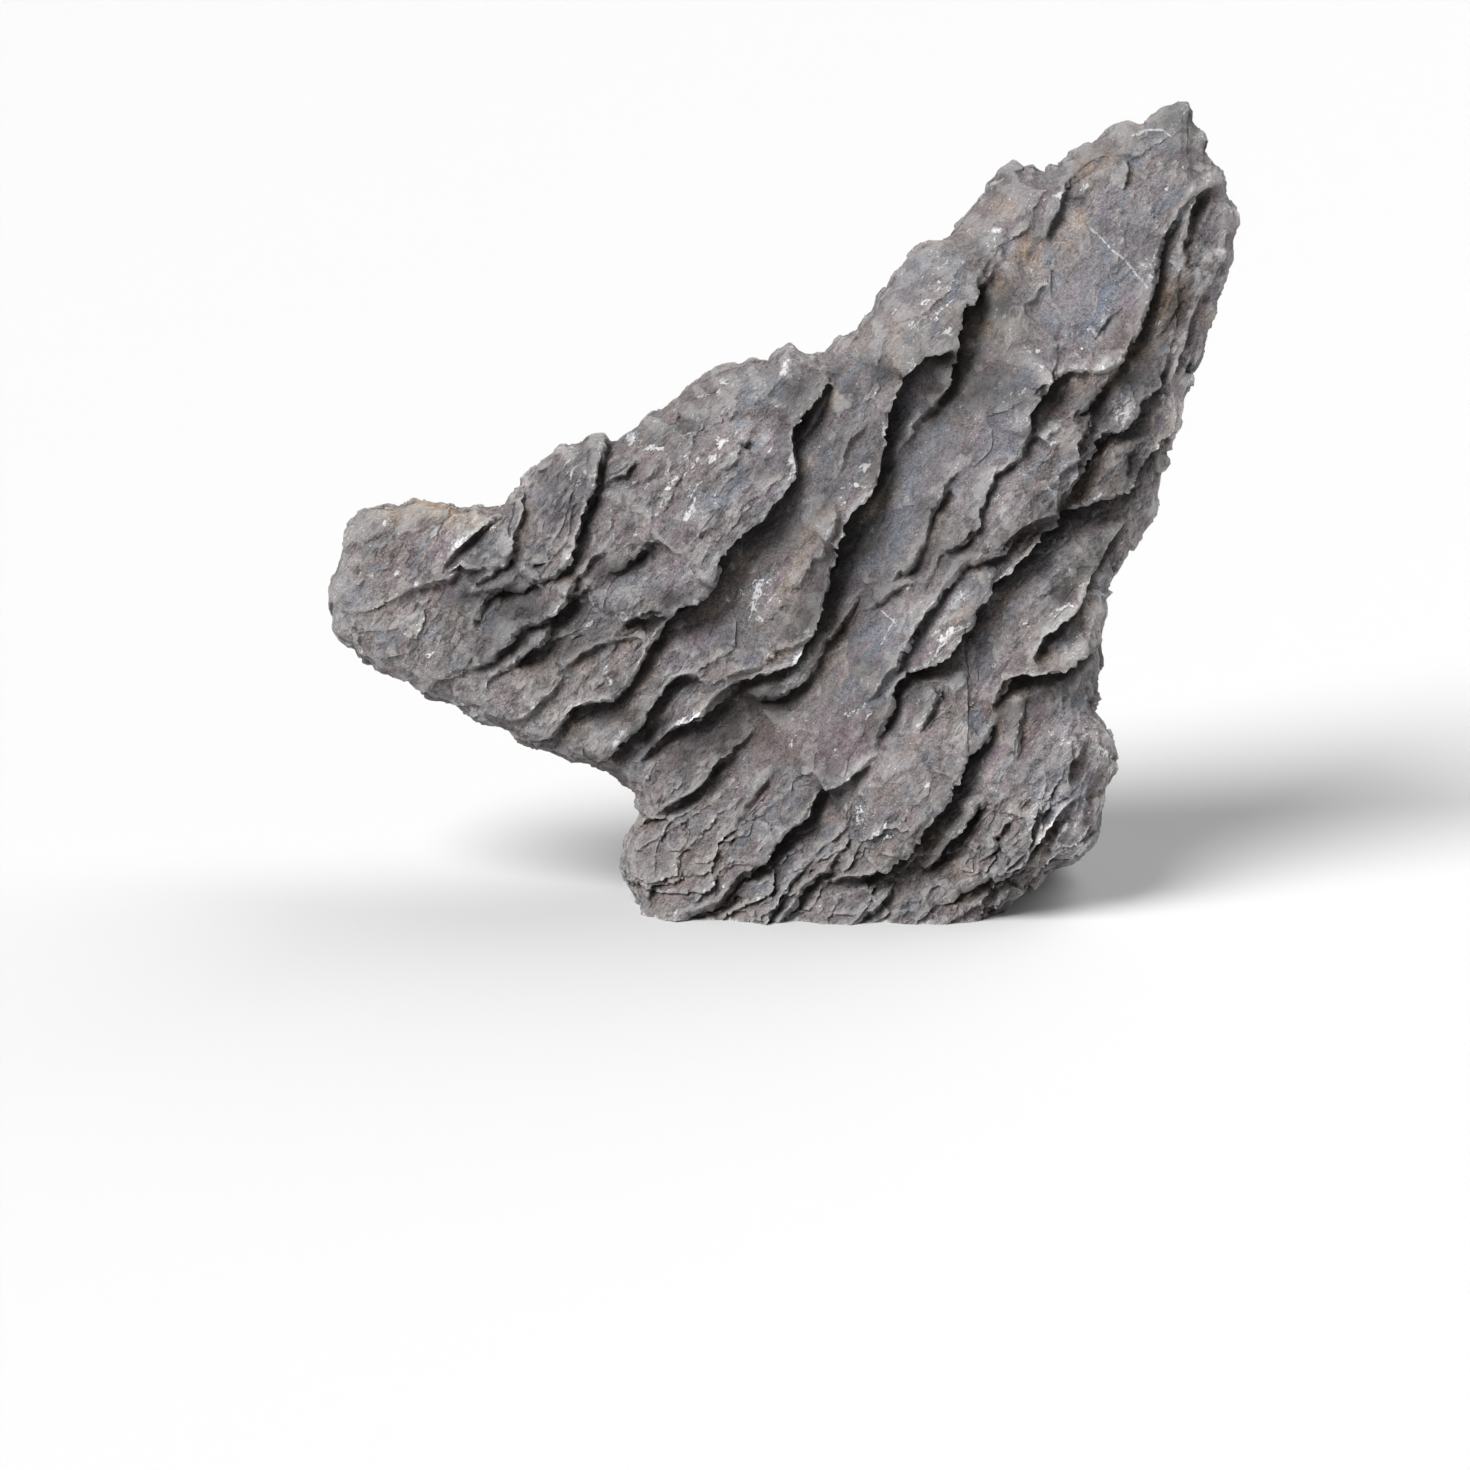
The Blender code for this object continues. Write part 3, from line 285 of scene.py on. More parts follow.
    "low_gills": [(66.5, 49, 0), (63.5, 43.5, 7), (60, 38.5, 8), (56.5, 35, 8), (53.5, 31, 7),
                  (50, 26.5, 6), (46, 22, 0)],
    "low_gills_east": [(77, 44, 0), (73, 38, 4), (70, 32, 5), (66, 27, 4), (63, 22, 0)],
    "knee_hem": [(101, 50, 0), (95, 45, 4), (91, 40.5, 6), (88, 35, 7), (83.5, 30.5, 7), (80.5, 25, 7),
                 (75, 23, 7), (69, 22.5, 7), (61, 19, 6), (53, 15.5, 4), (46, 12, 0)],
    "foot_gill": [(40, 20, 0), (34, 14, 4), (28, 9, 5), (24, 2, 5), (20, -6, 4)],
    "saddle_foot": [(-86, 119, 0), (-92, 117, 4), (-97, 112.5, 5), (-101, 107, 4), (-104, 101, 0)],
    "east_pleat": [(104, 92, 0), (100, 88, 3), (97, 84, 4), (95, 79, 3), (94, 74, 0)],
    "knee_gill": [(96, 41, 0), (94, 36, 3), (91, 31, 4), (88, 27, 3)],
    "low_gill_fan": [(88, 47, 0), (85, 42, 3), (82, 38, 4), (79, 33, 4), (76, 29, 3), (73, 25, 0)],
}

# Lips wander and are chipped by these amounts in lumps of these sizes, with these seeds.
LIP_WANDERS = [(0.6, 9.0, 1)]
LIP_CHIPS = [(0.8, 8.0, 41), (0.15, 3.4, 45)]

# The scales: their size across the lips, how much longer they are along them, how thick, how far
# they lift on the faces and step on the edges, and how they wander.
FLAKE_SIZE = 24.0
FLAKE_LENGTH = 1.7
FLAKE_THICKNESS = 0.5
FLAKE_LIFT = 2.0
FLAKE_STEP = 1.4
FLAKE_STEP_ON_EDGE = 2.4
FLAKES_ON_BACK = 0.6
FLAKE_WANDER = 6.0
FLAKE_WANDER_SIZE = 21.0
FLAKE_SEED = 4

# Thin beds have a size, a lift and a seed, and those of BACK_BEDS are on the back alone. Their lips
# curve round BED_ARC. They sway and fray by these shares of their size, in lumps of these sizes
# against it, and come and go with a mean, a spread, a least and a most strength.
THIN_BEDS = [(17.0, 1.2, 11), (7.5, 0.5, 14)]
BACK_BEDS = [(31.0, 3.6, 17), (14.0, 1.5, 18)]
BED_ARC = (-250.0, 330.0)
BED_ARC_REACH = 340.0
BED_DIP = 2.5
BED_SWAY = 1.5
BED_SWAY_SIZE = 2.6
BED_FRAY = 0.5
BED_FRAY_SIZE = 0.9
BED_STRENGTH = (0.35, 1.7, 0.0, 1.4)
BED_STRENGTH_SIZE = 3.2
BED_ON_RIM = 0.5

# Scoops have a size, a depth, how far their lower lip stands up and a seed, broken faces a size, a
# slope and a seed, and lumps a size, a lift and a seed.
SCOOPS = [(17.0, 1.6, 1.8, 71), (8.0, 0.9, 1.1, 75), (3.8, 0.45, 0.5, 79)]
SCOOP_STRETCH = 2.6
SCOOP_THINNESS = 1.3
SCOOP_LEVEL = 0.22
SCOOP_WANDER = 0.42
SCOOP_WANDER_SIZE = 1.1
SCOOP_STRENGTH = (0.85, 0.9, 0.2, 1.6)
SCOOP_STRENGTH_SIZE = 4.0
SCOOP_BEYOND_FACE = 0.4
BROKEN_FACES = [(10.0, 0.12, 81), (4.5, 0.12, 85)]
BROKEN_WANDER = 0.25
LUMPS = [(34.0, 1.3, 21), (12.0, 0.5, 22), (3.0, 0.15, 24)]

# How a surface's share grows as it turns to the front or back: how fast, and from what turn.
SCALE_TURN = (1.6, 0.5)
BACK_TURN = (1.6, 0.2)
SHEET_TURN = (2.0, 0.3)

# How strongly the scoops mark the face, at places across it that reach so far: u, v and strength.
WEAR = [
    (100, 215, 0.25), (112, 250, 0.6), (135, 215, 1.2), (55, 215, 0.6), (30, 180, 0.8), (70, 170, 0.4),
    (25, 145, 0.7), (100, 160, 1.5), (75, 120, 1.2), (100, 110, 1.1), (80, 32, 1.6), (60, 30, 1.3),
    (45, 135, 0.5), (-20, 160, 1.2), (-30, 125, 0.9), (-60, 145, 1.5), (-75, 120, 1.4), (-45, 90, 1.4),
    (-5, 100, 0.7), (20, 90, 0.5), (60, 55, 0.9), (95, 50, 1.0), (-120, 125, 1.1),
]
WEAR_REACH = 16.0

# The weather pushes along normals that are evened out in CALM_ROUNDS. A lip that stands LIP_RIDGE
# out of the surface smoothed around it weathers only by LIP_WEAR. The drawn face weathers by
# FACE_WEAR, but more and more from FOOT_FADE above FOOT_V down.
CALM_ROUNDS = 8
LIP_ROUNDS = 14
LIP_SPREAD = 4
LIP_RIDGE = 0.55
LIP_WEAR = 0.25
FACE_WEAR = 0.32
FOOT_V = 20.0
FOOT_FADE = 40.0

# The masks: rounds of smoothing that the reliefs are measured against, how the sky is looked for
# from each point, most of all the way the key light comes from, how far, in what lumps and by what
# seed the stains wander, and how deep behind the face they fade. The hidden sky paints shade into
# the rock's colour.
RELIEF_ROUNDS = (3, 12)
SHELTER_RAYS = 14
LIGHT_WAY = (-0.55, -0.30, 0.78)
SHADE_EVENNESS = 0.45
LEAST_LIGHT_WEIGHT = 0.05
SHELTER_START = 0.4
SHELTER_SPREAD = 0.98
SHELTER_REACH = 16.0
STAIN_WANDER = (4.0, 12.0, 31)
FACE_FADE = 8.0

# How near counts as a tie and as on the cut, the least of a weight, and what scatters noise and
# chance.
TIE = 1e-6
ON_CUT = 1e-6
TINY = 1e-9
SEED_STEP = 13.7
HASH_WAY = np.array([12.9898, 78.233, 37.719])
HASH_SCALE = 43758.5453

# Stains on the face: u, v, half length, half width, turn in degrees and strength. Some dark and
# brown stains are painted shade, and the last two groups are painted shade and painted light.
PATCHES = {
    "tan": [
        (83, 228, 6, 4, 80, 1.0), (36.5, 192, 7, 1.7, 95, 1.2), (-118, 142, 18, 3.5, 0, 1.1),
        (71, 203, 8, 4, 20, 0.8), (104, 255, 8, 5, 60, 0.9), (98, 239, 6, 3, 60, 0.6),
        (129, 211, 6, 5, 70, 0.9), (63, 170, 5, 3, 60, 0.3), (-20, 118, 14, 3, 40, 0.4),
        (8, 128, 24, 3, 68, 0.55), (95, 178, 12, 3, 35, 0.4), (60, 108, 12, 3, 50, 0.4),
        (73, 218, 8, 2.5, 62, 0.6), (73, 243, 5, 3, 0, 0.6), (18, 139, 5, 2, 60, 0.6),
        (115, 195, 8, 3, 60, 0.6), (91, 231, 3, 5, 90, 0.5), (5, 97, 12, 3, 60, 0.6),
        (-5, 90, 8, 2.5, 20, 0.5), (102, 147, 7, 2.5, 20, 0.6), (-100, 140, 8, 3, 0, 0.7),
        (145, 208, 3, 8, 90, 0.6), (85, 30, 8, 3, 60, 0.4), (56, 27, 4, 6, 60, 0.6),
    ],
    "rust": [
        (72, 77, 4, 5, 80, 1.0), (131, 212, 4, 5, 70, 0.7), (16, 66, 12, 5, 10, 0.25),
        (102.5, 255, 1.2, 4, 90, 0.9), (-62, 141, 4, 2, 10, 0.7), (100, 246.5, 3, 1, 20, 0.8),
        (68, 245, 1, 2.5, 90, 0.8),
    ],
    "plum": [
        (18, 66, 16, 8, 0, 0.8), (60, 160, 14, 8, 60, 0.7), (-60, 124, 10, 6, 60, 0.8),
        (40, 172, 8, 6, 60, 0.5), (105, 162, 14, 7, 50, 0.6), (60, 40, 14, 10, 60, 0.4),
        (-10, 70, 14, 8, 30, 0.8), (25, 100, 16, 7, 60, 0.5), (110, 140, 8, 5, 30, 0.6),
        (-30, 104, 8, 10, 70, 0.5), (92, 175, 8, 6, 60, 0.5),
    ],
    # Round dark blotches, and some painted shade in shadowed hollows.
    "dark": [
        (30, 187, 4.4, 3.0, 85, 1.5), (23.5, 180, 3.8, 3.4, 10, 1.3), (17, 187, 2.2, 4, 90, 0.8),
        (10, 187, 2, 3, 90, 0.4), (5, 186, 3, 3, 0, 0.4), (17, 50, 7, 7, 60, 1.2),
        (36, 36, 2.6, 2.4, 0, 1.2), (-74, 145, 13, 7, 70, 0.5), (84, 245, 4, 3, 20, 0.3),
        (104, 113, 6, 4, 60, 0.4), (93, 115, 6, 4.5, 50, 1.0), (105, 126, 5, 4, 60, 0.6),
        (60, 190, 9, 4, 60, 0.35), (135, 257, 4, 3, 20, 0.5), (134, 273, 5, 3, 80, 0.6),
        (125, 226, 3, 8, 80, 0.5), (84, 226.5, 0.9, 1.3, 0, 1.5), (84, 223.5, 0.9, 0.9, 0, 1.5),
        (81, 233.5, 1.5, 0.8, 0, 0.9), (26.5, 91.5, 0.9, 0.8, 0, 1.6), (30, 97, 0.9, 0.8, 0, 1.6),
        (22, 102.5, 0.9, 0.8, 0, 1.4), (81, 54, 1.8, 1.1, 0, 1.3), (70, 53, 1.3, 0.9, 0, 1.2),
        (-32, 168, 4, 1.5, 0, 0.5), (97, 247, 4, 3, 0, 0.5), (-115, 115, 9, 2.5, 0, 0.6),
        (85, 40, 6, 3, 20, 0.4), (-100, 129, 8, 6, 30, 0.5), (-60, 73, 9, 4, 20, 0.4),
        (-46, 66, 5, 3, 30, 1.3), (-104, 114, 4, 3, 0, 0.8),
    ],
    # Brown clay, and some painted shade low in the middle of the face.
    "brown": [
        (129, 211, 7, 6, 80, 1.0), (-10, 69, 14, 7, 30, 0.9), (128, 200, 5, 5, 80, 0.6),
        (120, 190, 5, 5, 60, 0.5), (50, 30, 6, 4, 60, 0.6), (140, 200, 3, 5, 90, 0.4),
        (-26, 76, 4, 3, 30, 0.4), (4, 60, 10, 5, 0, 0.6),
    ],
    "blue": [
        (108, 234, 30, 16, 60, 0.55), (45, 218, 14, 8, 55, 0.5), (66, 74, 8, 4, 90, 0.9),
        (-95, 135, 10, 8, 30, 0.5), (38, 140, 26, 8, 66, 0.9), (64, 113, 8, 4, 50, 0.8),
        (67, 93, 7, 4, 80, 0.8), (-58, 112, 10, 4, 20, 0.8), (-96, 106, 6, 6, 0, 0.7),
        (57, 151, 5, 4, 60, 0.6), (-73, 145, 10, 6, 70, 0.6), (88, 122, 12, 6, 50, 0.7),
        (70, 172, 14, 8, 60, 0.6), (34, 96, 14, 8, 60, 0.6), (-20, 98, 14, 6, 50, 0.5),
        (-2, 182, 14, 6, 20, 0.5),
    ],
    "fleck": [
        (52, 213, 14, 8, 60, 0.9), (-30, 153, 20, 10, 40, 0.9), (-66, 155, 5, 7, 70, 0.7),
        (-44, 96, 16, 5, 35, 0.5), (33, 35, 12, 6, 40, 0.7), (112, 175, 8, 4, 55, 0.9),
        (95, 50, 12, 10, 60, 0.4), (72, 120, 16, 5, 40, 0.5), (-50, 66, 8, 5, 40, 0.5),
        (-10, 110, 14, 9, 60, 0.9), (12, 130, 10, 5, 60, 0.5), (97, 33, 8, 6, 60, 1.0),
        (55, 98, 8.5, 1.5, 48, 2.6), (94, 108.5, 6, 1.4, 32, 2.4), (86, 105.5, 6, 0.8, 20, 2.2),
        (27, 153.5, 1.8, 0.9, 20, 3.2), (23, 152, 0.9, 0.9, 0, 3.2), (21.5, 148.5, 1.8, 1.0, 60, 3.2),
        (25, 147.5, 1.8, 0.8, 0, 3.0), (22, 145, 1.5, 1.0, 40, 3.2), (-18, 164, 5, 1.8, 15, 2.6),
        (-22, 158, 1.2, 4, 0, 2.2), (-35, 152.5, 2.2, 1.6, 30, 3.0), (-31, 141, 4, 2, 50, 2.0),
        (-42, 163, 5, 1.1, -10, 2.4), (-47, 165, 3, 1.6, -35, 2.8), (-65, 153, 5, 1.2, 60, 3.0),
        (-75, 142, 2, 1.2, 20, 2.6), (-18, 183.5, 4, 1.2, 60, 2.6), (-23, 182, 2.4, 0.9, 0, 3.0),
        (-14, 188.5, 3, 0.8, 30, 2.6), (1.5, 188, 1.8, 1.2, 45, 3.2), (70, 235, 2.6, 1.2, 20, 2.0),
        (53, 217, 2.4, 0.8, 60, 2.0), (58.5, 218, 1.8, 0.7, 80, 1.8), (55, 201, 3.2, 1.1, 40, 2.8),
        (43, 206, 2.8, 0.7, -70, 2.2), (69, 217, 3, 1.1, 45, 2.6), (104, 203, 6, 1.6, 50, 1.8),
        (114, 174, 5.0, 1.4, 55, 2.3), (-95, 139.5, 4, 1.2, 10, 2.0), (-106, 132, 5, 1.1, 50, 1.7),
        (-133, 139, 3, 1, -30, 2.4), (-57, 87, 1, 3, 10, 2.6), (-51, 106, 1, 4, 60, 2.0),
        (-62, 105, 5, 0.9, 15, 2.0), (-54, 65, 5, 1, 35, 2.8), (-31, 75, 6, 2.2, 5, 1.8),
        (4, 87, 4.5, 1.3, 50, 3.0), (25, 42, 4, 2, 40, 2.0), (42, 51, 3, 0.9, 10, 1.6),
        (90, 27, 3, 1.4, 60, 2.8), (99, 29, 2, 1.6, 60, 2.8), (107, 63, 1.2, 2.4, 10, 2.6),
        (44, 81, 2, 1, 30, 2.4), (22, 76, 9, 1.3, 10, 1.6), (33, 85, 2.4, 0.8, 0, 2.6),
        (137, 276, 1.6, 1.1, 0, 3.0), (127, 249, 2, 0.8, 0, 2.4), (3.5, 157, 1, 5, 0, 2.6),
        (33.5, 166, 1, 5, 0, 1.8), (118.5, 222.5, 2.6, 0.9, 5, 3.2), (122, 226, 1, 5, -15, 1.6),
        (84, 192, 6, 0.8, 15, 1.6), (75, 252, 7, 1.0, 10, 1.4), (92, 245, 1, 3, 70, 2.2),
        (-3, 162, 3, 1.6, 0, 2.2),
    ],
    # Painted shade, where shade falls on the face.
    "painted_shade": [
        (66, 180, 14, 8, 50, 1.8), (72, 180, 10, 5, 0, 1.5), (73, 211, 11, 6, 80, 2.0),
        (-96, 115, 14, 6, 12, 1.8), (-106, 114, 7, 5, 0, 2.0), (-82, 98, 7, 8, 60, 1.0),
        (-20, 69, 22, 7, 25, 1.6), (-7, 79, 15, 5, 12, 1.9), (-14, 75, 9, 5, 20, 2.1),
        (0, 78, 7, 5, 0, 1.8), (-13, 85, 6, 3, 20, 1.4), (-50, 76, 7, 6, 40, 1.6), (-53, 99, 6, 4, 30, 1.3),
        (-44, 67, 7, 4, 40, 2.0), (-34, 111, 6, 3, 20, 1.5), (-54, 84, 6, 4, 40, 1.5),
        (-104, 118, 8, 4, 30, 1.8), (-46, 103, 6, 3, 20, 1.3), (86, 79, 10, 5, 30, 2.0),
        (116, 184, 11, 7, 55, 2.0), (103, 174, 9, 5, 60, 1.8), (94, 180, 12, 4, 20, 0.9),
        (-50, 123, 12, 4, 20, 1.1), (14, 145, 10, 6, 65, 1.1), (52, 126, 14, 6, 40, 1.2),
        (33, 72, 8, 4, 75, 1.3), (64, 106, 5, 4, 60, 1.9), (5, 181, 8, 5, 40, 2.0),
        (-54, 152, 8, 5, 30, 1.0), (-36, 168, 8, 3, 10, 0.9), (27, 133, 10, 7, 65, 2.0),
        (-8, 134, 10, 5, 45, 2.2), (15, 118, 9, 6, 65, 1.4), (8, 106, 11, 6, 65, 1.7),
        (-20, 119, 8, 5, 35, 1.7), (-36, 111, 10, 4, 20, 1.6), (52, 38, 8, 5, 60, 1.4),
        (-68, 152, 10, 6, 40, 0.7), (-70, 100, 16, 6, 15, 1.3), (86, 137, 18, 5, 35, 1.4),
        (98, 247, 5, 4, 20, 0.6), (22, 165, 9, 7, 70, 0.9), (72, 130, 10, 4, 50, 1.2),
        (45, 190, 5, 3, 60, 1.2), (66, 121, 8, 4, 50, 1.6), (116, 158, 12, 6, 50, 2.2),
        (92, 141, 6, 4, 60, 1.6), (100, 152, 8, 4, 50, 0.8), (108, 170, 5, 4, 60, 1.4),
        (131, 210, 10, 5, 75, 2.0), (124, 226, 6, 3, 75, 1.6), (113, 196, 7, 4, 60, 1.2),
        (34, 160, 22, 5, 75, 1.5), (-86, 108, 12, 6, 0, 1.6), (46, 172, 16, 6, 60, 0.8),
        (50, 142, 9, 6, 60, 1.2), (82, 198, 9, 8, 60, 0.9), (76, 76, 8, 6, 60, 1.4),
        (58, 202, 6, 3, 60, 1.2), (28, 88, 7, 6, 60, 0.9), (-6, 154, 12, 4, 30, 1.0),
        (75, 251, 5, 5, 0, 1.2), (131, 272, 5, 5, 0, 1.3), (30, 114, 18, 7, 62, 1.0),
        (-22, 181, 12, 4, 15, 0.5), (102, 122, 12, 5, 55, 2.2), (22, 112, 6, 4, 70, 1.6),
        (-60, 119, 12, 5, 30, 1.6), (-48, 88, 8, 4, 50, 1.3), (48, 86, 10, 5, 40, 1.2),
        (17, 54, 5, 4, 0, 0.9), (-96, 100, 10, 8, 30, 1.1), (96, 90, 10, 5, 30, 1.4),
        (-30, 64, 8, 5, 20, 1.4), (54, 50, 5, 4, 60, 1.2), (105, 258, 10, 6, 40, 0.7),
        (14, 150, 10, 6, 60, 0.8), (96, 60, 5, 4, 60, 1.0), (45, 81, 6, 5, 40, 1.0),
    ],
    # Painted light, where light falls on the face.
    "painted_light": [
        (100, 212, 26, 16, 60, 0.9), (116, 246, 14, 9, 30, 0.9), (-106, 135, 10, 6, 30, 1.5),
        (-120, 112, 16, 8, 0, 1.0), (130, 174, 20, 5, 75, 3.2), (108, 156, 8, 4, 60, 1.5),
        (75, 156, 8, 4, 65, 1.2), (56, 148, 6, 4, 0, 1.4), (58, 70, 14, 8, 70, 0.6), (5, 93, 5, 4, 60, 0.8),
        (93, 94, 10, 5, 50, 0.6), (95, 70, 14, 8, 70, 1.0), (90, 34, 16, 8, 70, 2.3),
        (50, 105, 12, 5, 55, 2.2), (72, 106, 9, 5, 60, 2.0), (53, 210, 9, 6, 60, 0.7),
        (69, 141, 7, 3, 70, 1.5), (-72, 164, 8, 4, 60, 0.6), (-84, 150, 6, 5, 60, 1.2),
        (10, 191, 12, 3, 20, 0.6), (104, 112, 15, 6, 75, 3.6), (114, 130, 10, 5, 60, 2.4),
        (142, 250, 9, 5, 60, 1.4), (142, 213, 18, 4, 75, 2.0), (94, 188, 9, 4, 30, 1.9),
        (148, 246, 9, 4, 90, 1.8), (74, 230, 14, 5, 80, 1.4), (106, 62, 16, 5, 80, 1.6),
        (86, 218, 10, 7, 80, 1.5), (68, 219, 5, 4, 60, 1.4), (-20, 136, 12, 6, 40, 0.9),
        (-32, 122, 12, 6, 20, 0.9), (129, 222, 14, 3, 80, 1.6), (26, 56, 8, 4, 30, 1.6),
        (95, 132, 14, 5, 45, 1.8), (64, 53, 14, 4, 65, 2.0), (106, 190, 8, 4, 40, 1.4),
        (46, 185, 9, 4, 35, 1.4), (24, 140, 6, 4, 60, 1.9), (81, 129, 8, 4, 40, 1.4),
        (104, 140, 12, 4, 20, 1.4), (28, 200, 10, 4, 40, 0.5), (-10, 122, 12, 8, 60, 1.0),
        (123, 146, 13, 5, 65, 2.6), (112, 192, 7, 3, 60, 1.4), (-92, 77, 9, 4, 20, 1.0),
        (-59, 145, 12, 3, 75, 1.8), (-68, 128, 6, 3, 60, 1.0), (-43, 92, 14, 4, 55, 1.5),
        (-6, 145, 12, 6, 40, 1.2), (85, 165, 7, 4, 70, 1.2), (14, 92, 14, 5, 60, 2.0),
        (-10, 168, 12, 8, 60, 1.1), (-112, 100, 12, 6, 0, 0.9), (36, 104, 14, 6, 50, 0.7),
        (42, 173, 10, 5, 65, 1.6), (108, 200, 10, 5, 60, 0.9), (93, 239, 6, 4, 70, 1.9),
        (40, 160, 6, 3, 70, 1.0), (-34, 84, 8, 4, 60, 1.7), (-44, 130, 7, 4, 60, 0.9),
        (92, 178, 6, 4, 50, 1.2), (-88, 131, 8, 3, 90, 1.0), (84, 50, 14, 8, 40, 0.6),
        (57, 92, 8, 4, 40, 1.3), (84, 84, 8, 3, 20, 1.8), (66, 198, 10, 3, 60, 1.3),
        (-68, 112, 6, 3, 60, 1.8), (98, 84, 6, 4, 60, 1.4), (30, 176, 7, 5, 60, 1.2),
        (-33, 154, 6, 4, 60, 1.2), (-28, 74, 9, 3, 20, 1.6), (-16, 112, 7, 5, 60, 1.5),
        (63, 120, 5, 3, 60, 1.6), (137, 190, 8, 4, 70, 2.6), (90, 100, 10, 4, 40, 1.4),
        (66, 169, 8, 7, 0, 0.9), (-69, 78, 10, 3, 10, 1.2), (-46, 122, 5, 4, 60, 0.6),
    ],
}

# Thin white veins on the face: start u, v, end u, v and half width, in millimetres.
VEINS = [
    (102, 236, 108, 230, 0.30), (108, 230, 114, 224, 0.36), (114, 224, 121, 216, 0.32),
    (117, 267, 121, 269, 0.45), (121, 269, 126, 268.5, 0.45), (126, 268.5, 129, 266.5, 0.35),
    (33, 109, 38, 104, 0.22), (33, 98, 37, 106, 0.22),
]

# Thin cracks across the face: start u, v, end u, v and half width, in millimetres.
CRACKS = [
    (60.5, 103, 61.5, 88, 0.22), (61.5, 88, 61.8, 74, 0.25), (61.8, 74, 61.2, 63, 0.2),
    (78.5, 71, 76.8, 62, 0.4), (-88, 145, -89.5, 134, 0.35), (-50, 157, -56.5, 152.5, 0.4),
    (-22, 140, -28, 132, 0.3), (-57, 128, -69, 118, 0.25), (112.3, 208.5, 106, 201.5, 0.5),
    (106, 201.5, 103.5, 199, 0.35), (96, 66, 95.5, 56, 0.4), (73, 47, 68, 37, 0.3),
    (-63, 104, -77, 98, 0.25), (135, 273, 134.5, 262, 0.3),
]

# The material's thin sheets: how high they step and how far they sway, against their size.
SHEET_RISE = 0.12
SHEET_SWAY = 4.0
SHEET_SWAY_SIZE = 3.2

# The studio: where the camera looks on the drawing, how wide its frame is there and where the
# lights stand from there, in metres.
AIM = (-15.0, 68.3, 0.0)
FRAME_WIDTH = 0.490
SENSOR_MM = 36.0
FLOOR_RADIUS = 30.0
FLOOR_SIDES = 96
KEY_WAY = (-1.15, -0.95, 1.60)
KEY_ANGLE_DEG = 36.0
BACK_WAY = (1.3, 1.2, 1.5)
BACK_ANGLE_DEG = 60.0
FILL_WAY = (1.7, -1.5, 0.6)
FILL_SIZE = 1.6


def distance_to_path(points, path):
    """Each point's distance to a path, the share of the way along the nearest piece, that piece's
    number, and on which side of it the point is: +1 on the left of someone walking the path."""
    best = np.full(len(points), np.inf)
    along = np.zeros(len(points))
    piece = np.zeros(len(points), int)
    side = np.ones(len(points))
    squareness = np.zeros(len(points))
    for number, (start, end) in enumerate(zip(path[:-1], path[1:])):
        run = end - start
        length = math.hypot(*run)
        offset = points - start
        share = np.clip(offset @ run / length**2, 0.0, 1.0)
        gap = offset - share[:, None] * run
        distance = np.hypot(gap[:, 0], gap[:, 1])
        cross = (run[0] * offset[:, 1] - run[1] * offset[:, 0]) / length
        square = np.abs(cross)
        nearer = (distance < best - TIE) | ((distance < best + TIE) & (square > squareness))
        best = np.where(nearer, distance, best)
        along = np.where(nearer, share, along)
        piece = np.where(nearer, number, piece)
        side = np.where(nearer, np.sign(cross), side)
        squareness = np.where(nearer, square, squareness)
    return best, along, piece, side


def smooth_noise(points, size, seed):
    """Noise from about -1 to 1 at each point, in lumps of about the given size."""
    places = np.zeros((len(points), 3))
    places[:, :points.shape[1]] = points / size
    return np.array([noise.noise(place) for place in (places + SEED_STEP * seed).tolist()])


def wandered(points, amount, size, seed):
    """The points moved about smoothly, by up to about the given amount, in lumps of that size."""
    axes = range(points.shape[1])
    return points + amount * np.column_stack([smooth_noise(points, size, seed + axis) for axis in axes])


def chipped(points, amount, size, seed):
    """The points moved about by a different step in each of many small cells."""
    cells = np.zeros((len(points), 3))
    cells[:, :points.shape[1]] = points / size
    centres = cell_centres(cells + seed)
    axes = range(points.shape[1])
    return points + amount * np.column_stack([2 * chance(centres + axis) - 1 for axis in axes])


def cell_centres(cells):
    """The centre of the Voronoi cell that each point lies in."""
    return np.array([noise.voronoi(cell)[1][0] for cell in cells.tolist()])


def chance(centres):
    """A number from 0 to 1 for each cell centre, with no pattern among neighbours."""
    value = np.sin(centres @ HASH_WAY) * HASH_SCALE
    return value - np.floor(value)


def ledge_lift(face, deepening):
    """How far the ledges lift or sink the face at points u, v, how far each lip hangs out over its
    floor there, along RUN, and how far off the nearest lip is."""
    height = np.zeros(len(face))
    hang = np.zeros(len(face))
    nearest = np.full(len(face), np.inf)
    for ledge in LEDGES.values():
        lip = np.array(ledge, float)
        lip[:, 2] = deepening * standing(lip[:, 2])
        set_back = SET_BACK * lip[:, 2:] * overhang(lip[:, 2:]) * LIFT_SHARE * RUN
        distance, along, piece, side = distance_to_path(face, lip[:, :2] - set_back)
        drop = lip[piece, 2] * (1 - along) + lip[piece + 1, 2] * along
        plate_width = PLATE_WIDTH_LEAST + PLATE_WIDTH_PER_DROP * drop
        floor_width = FLOOR_WIDTH_LEAST + FLOOR_WIDTH_PER_DROP * drop
        on_plate = np.clip(1 - distance / plate_width, 0, 1)
        on_floor = np.clip(1 - distance / floor_width, 0, 1) ** FLOOR_CURVE
        sink = (1 - LIFT_SHARE) * on_floor + UNDERCUT * np.clip(1 - distance / UNDERCUT_REACH, 0, 1)
        lift = drop * np.where(side < 0, LIFT_SHARE * on_plate, -sink)
        height += lift
        hang += overhang(drop) * lift * np.clip(1 - distance / OVERHANG_REACH, 0, 1)
        nearest = np.minimum(nearest, distance)
    return height, hang, nearest


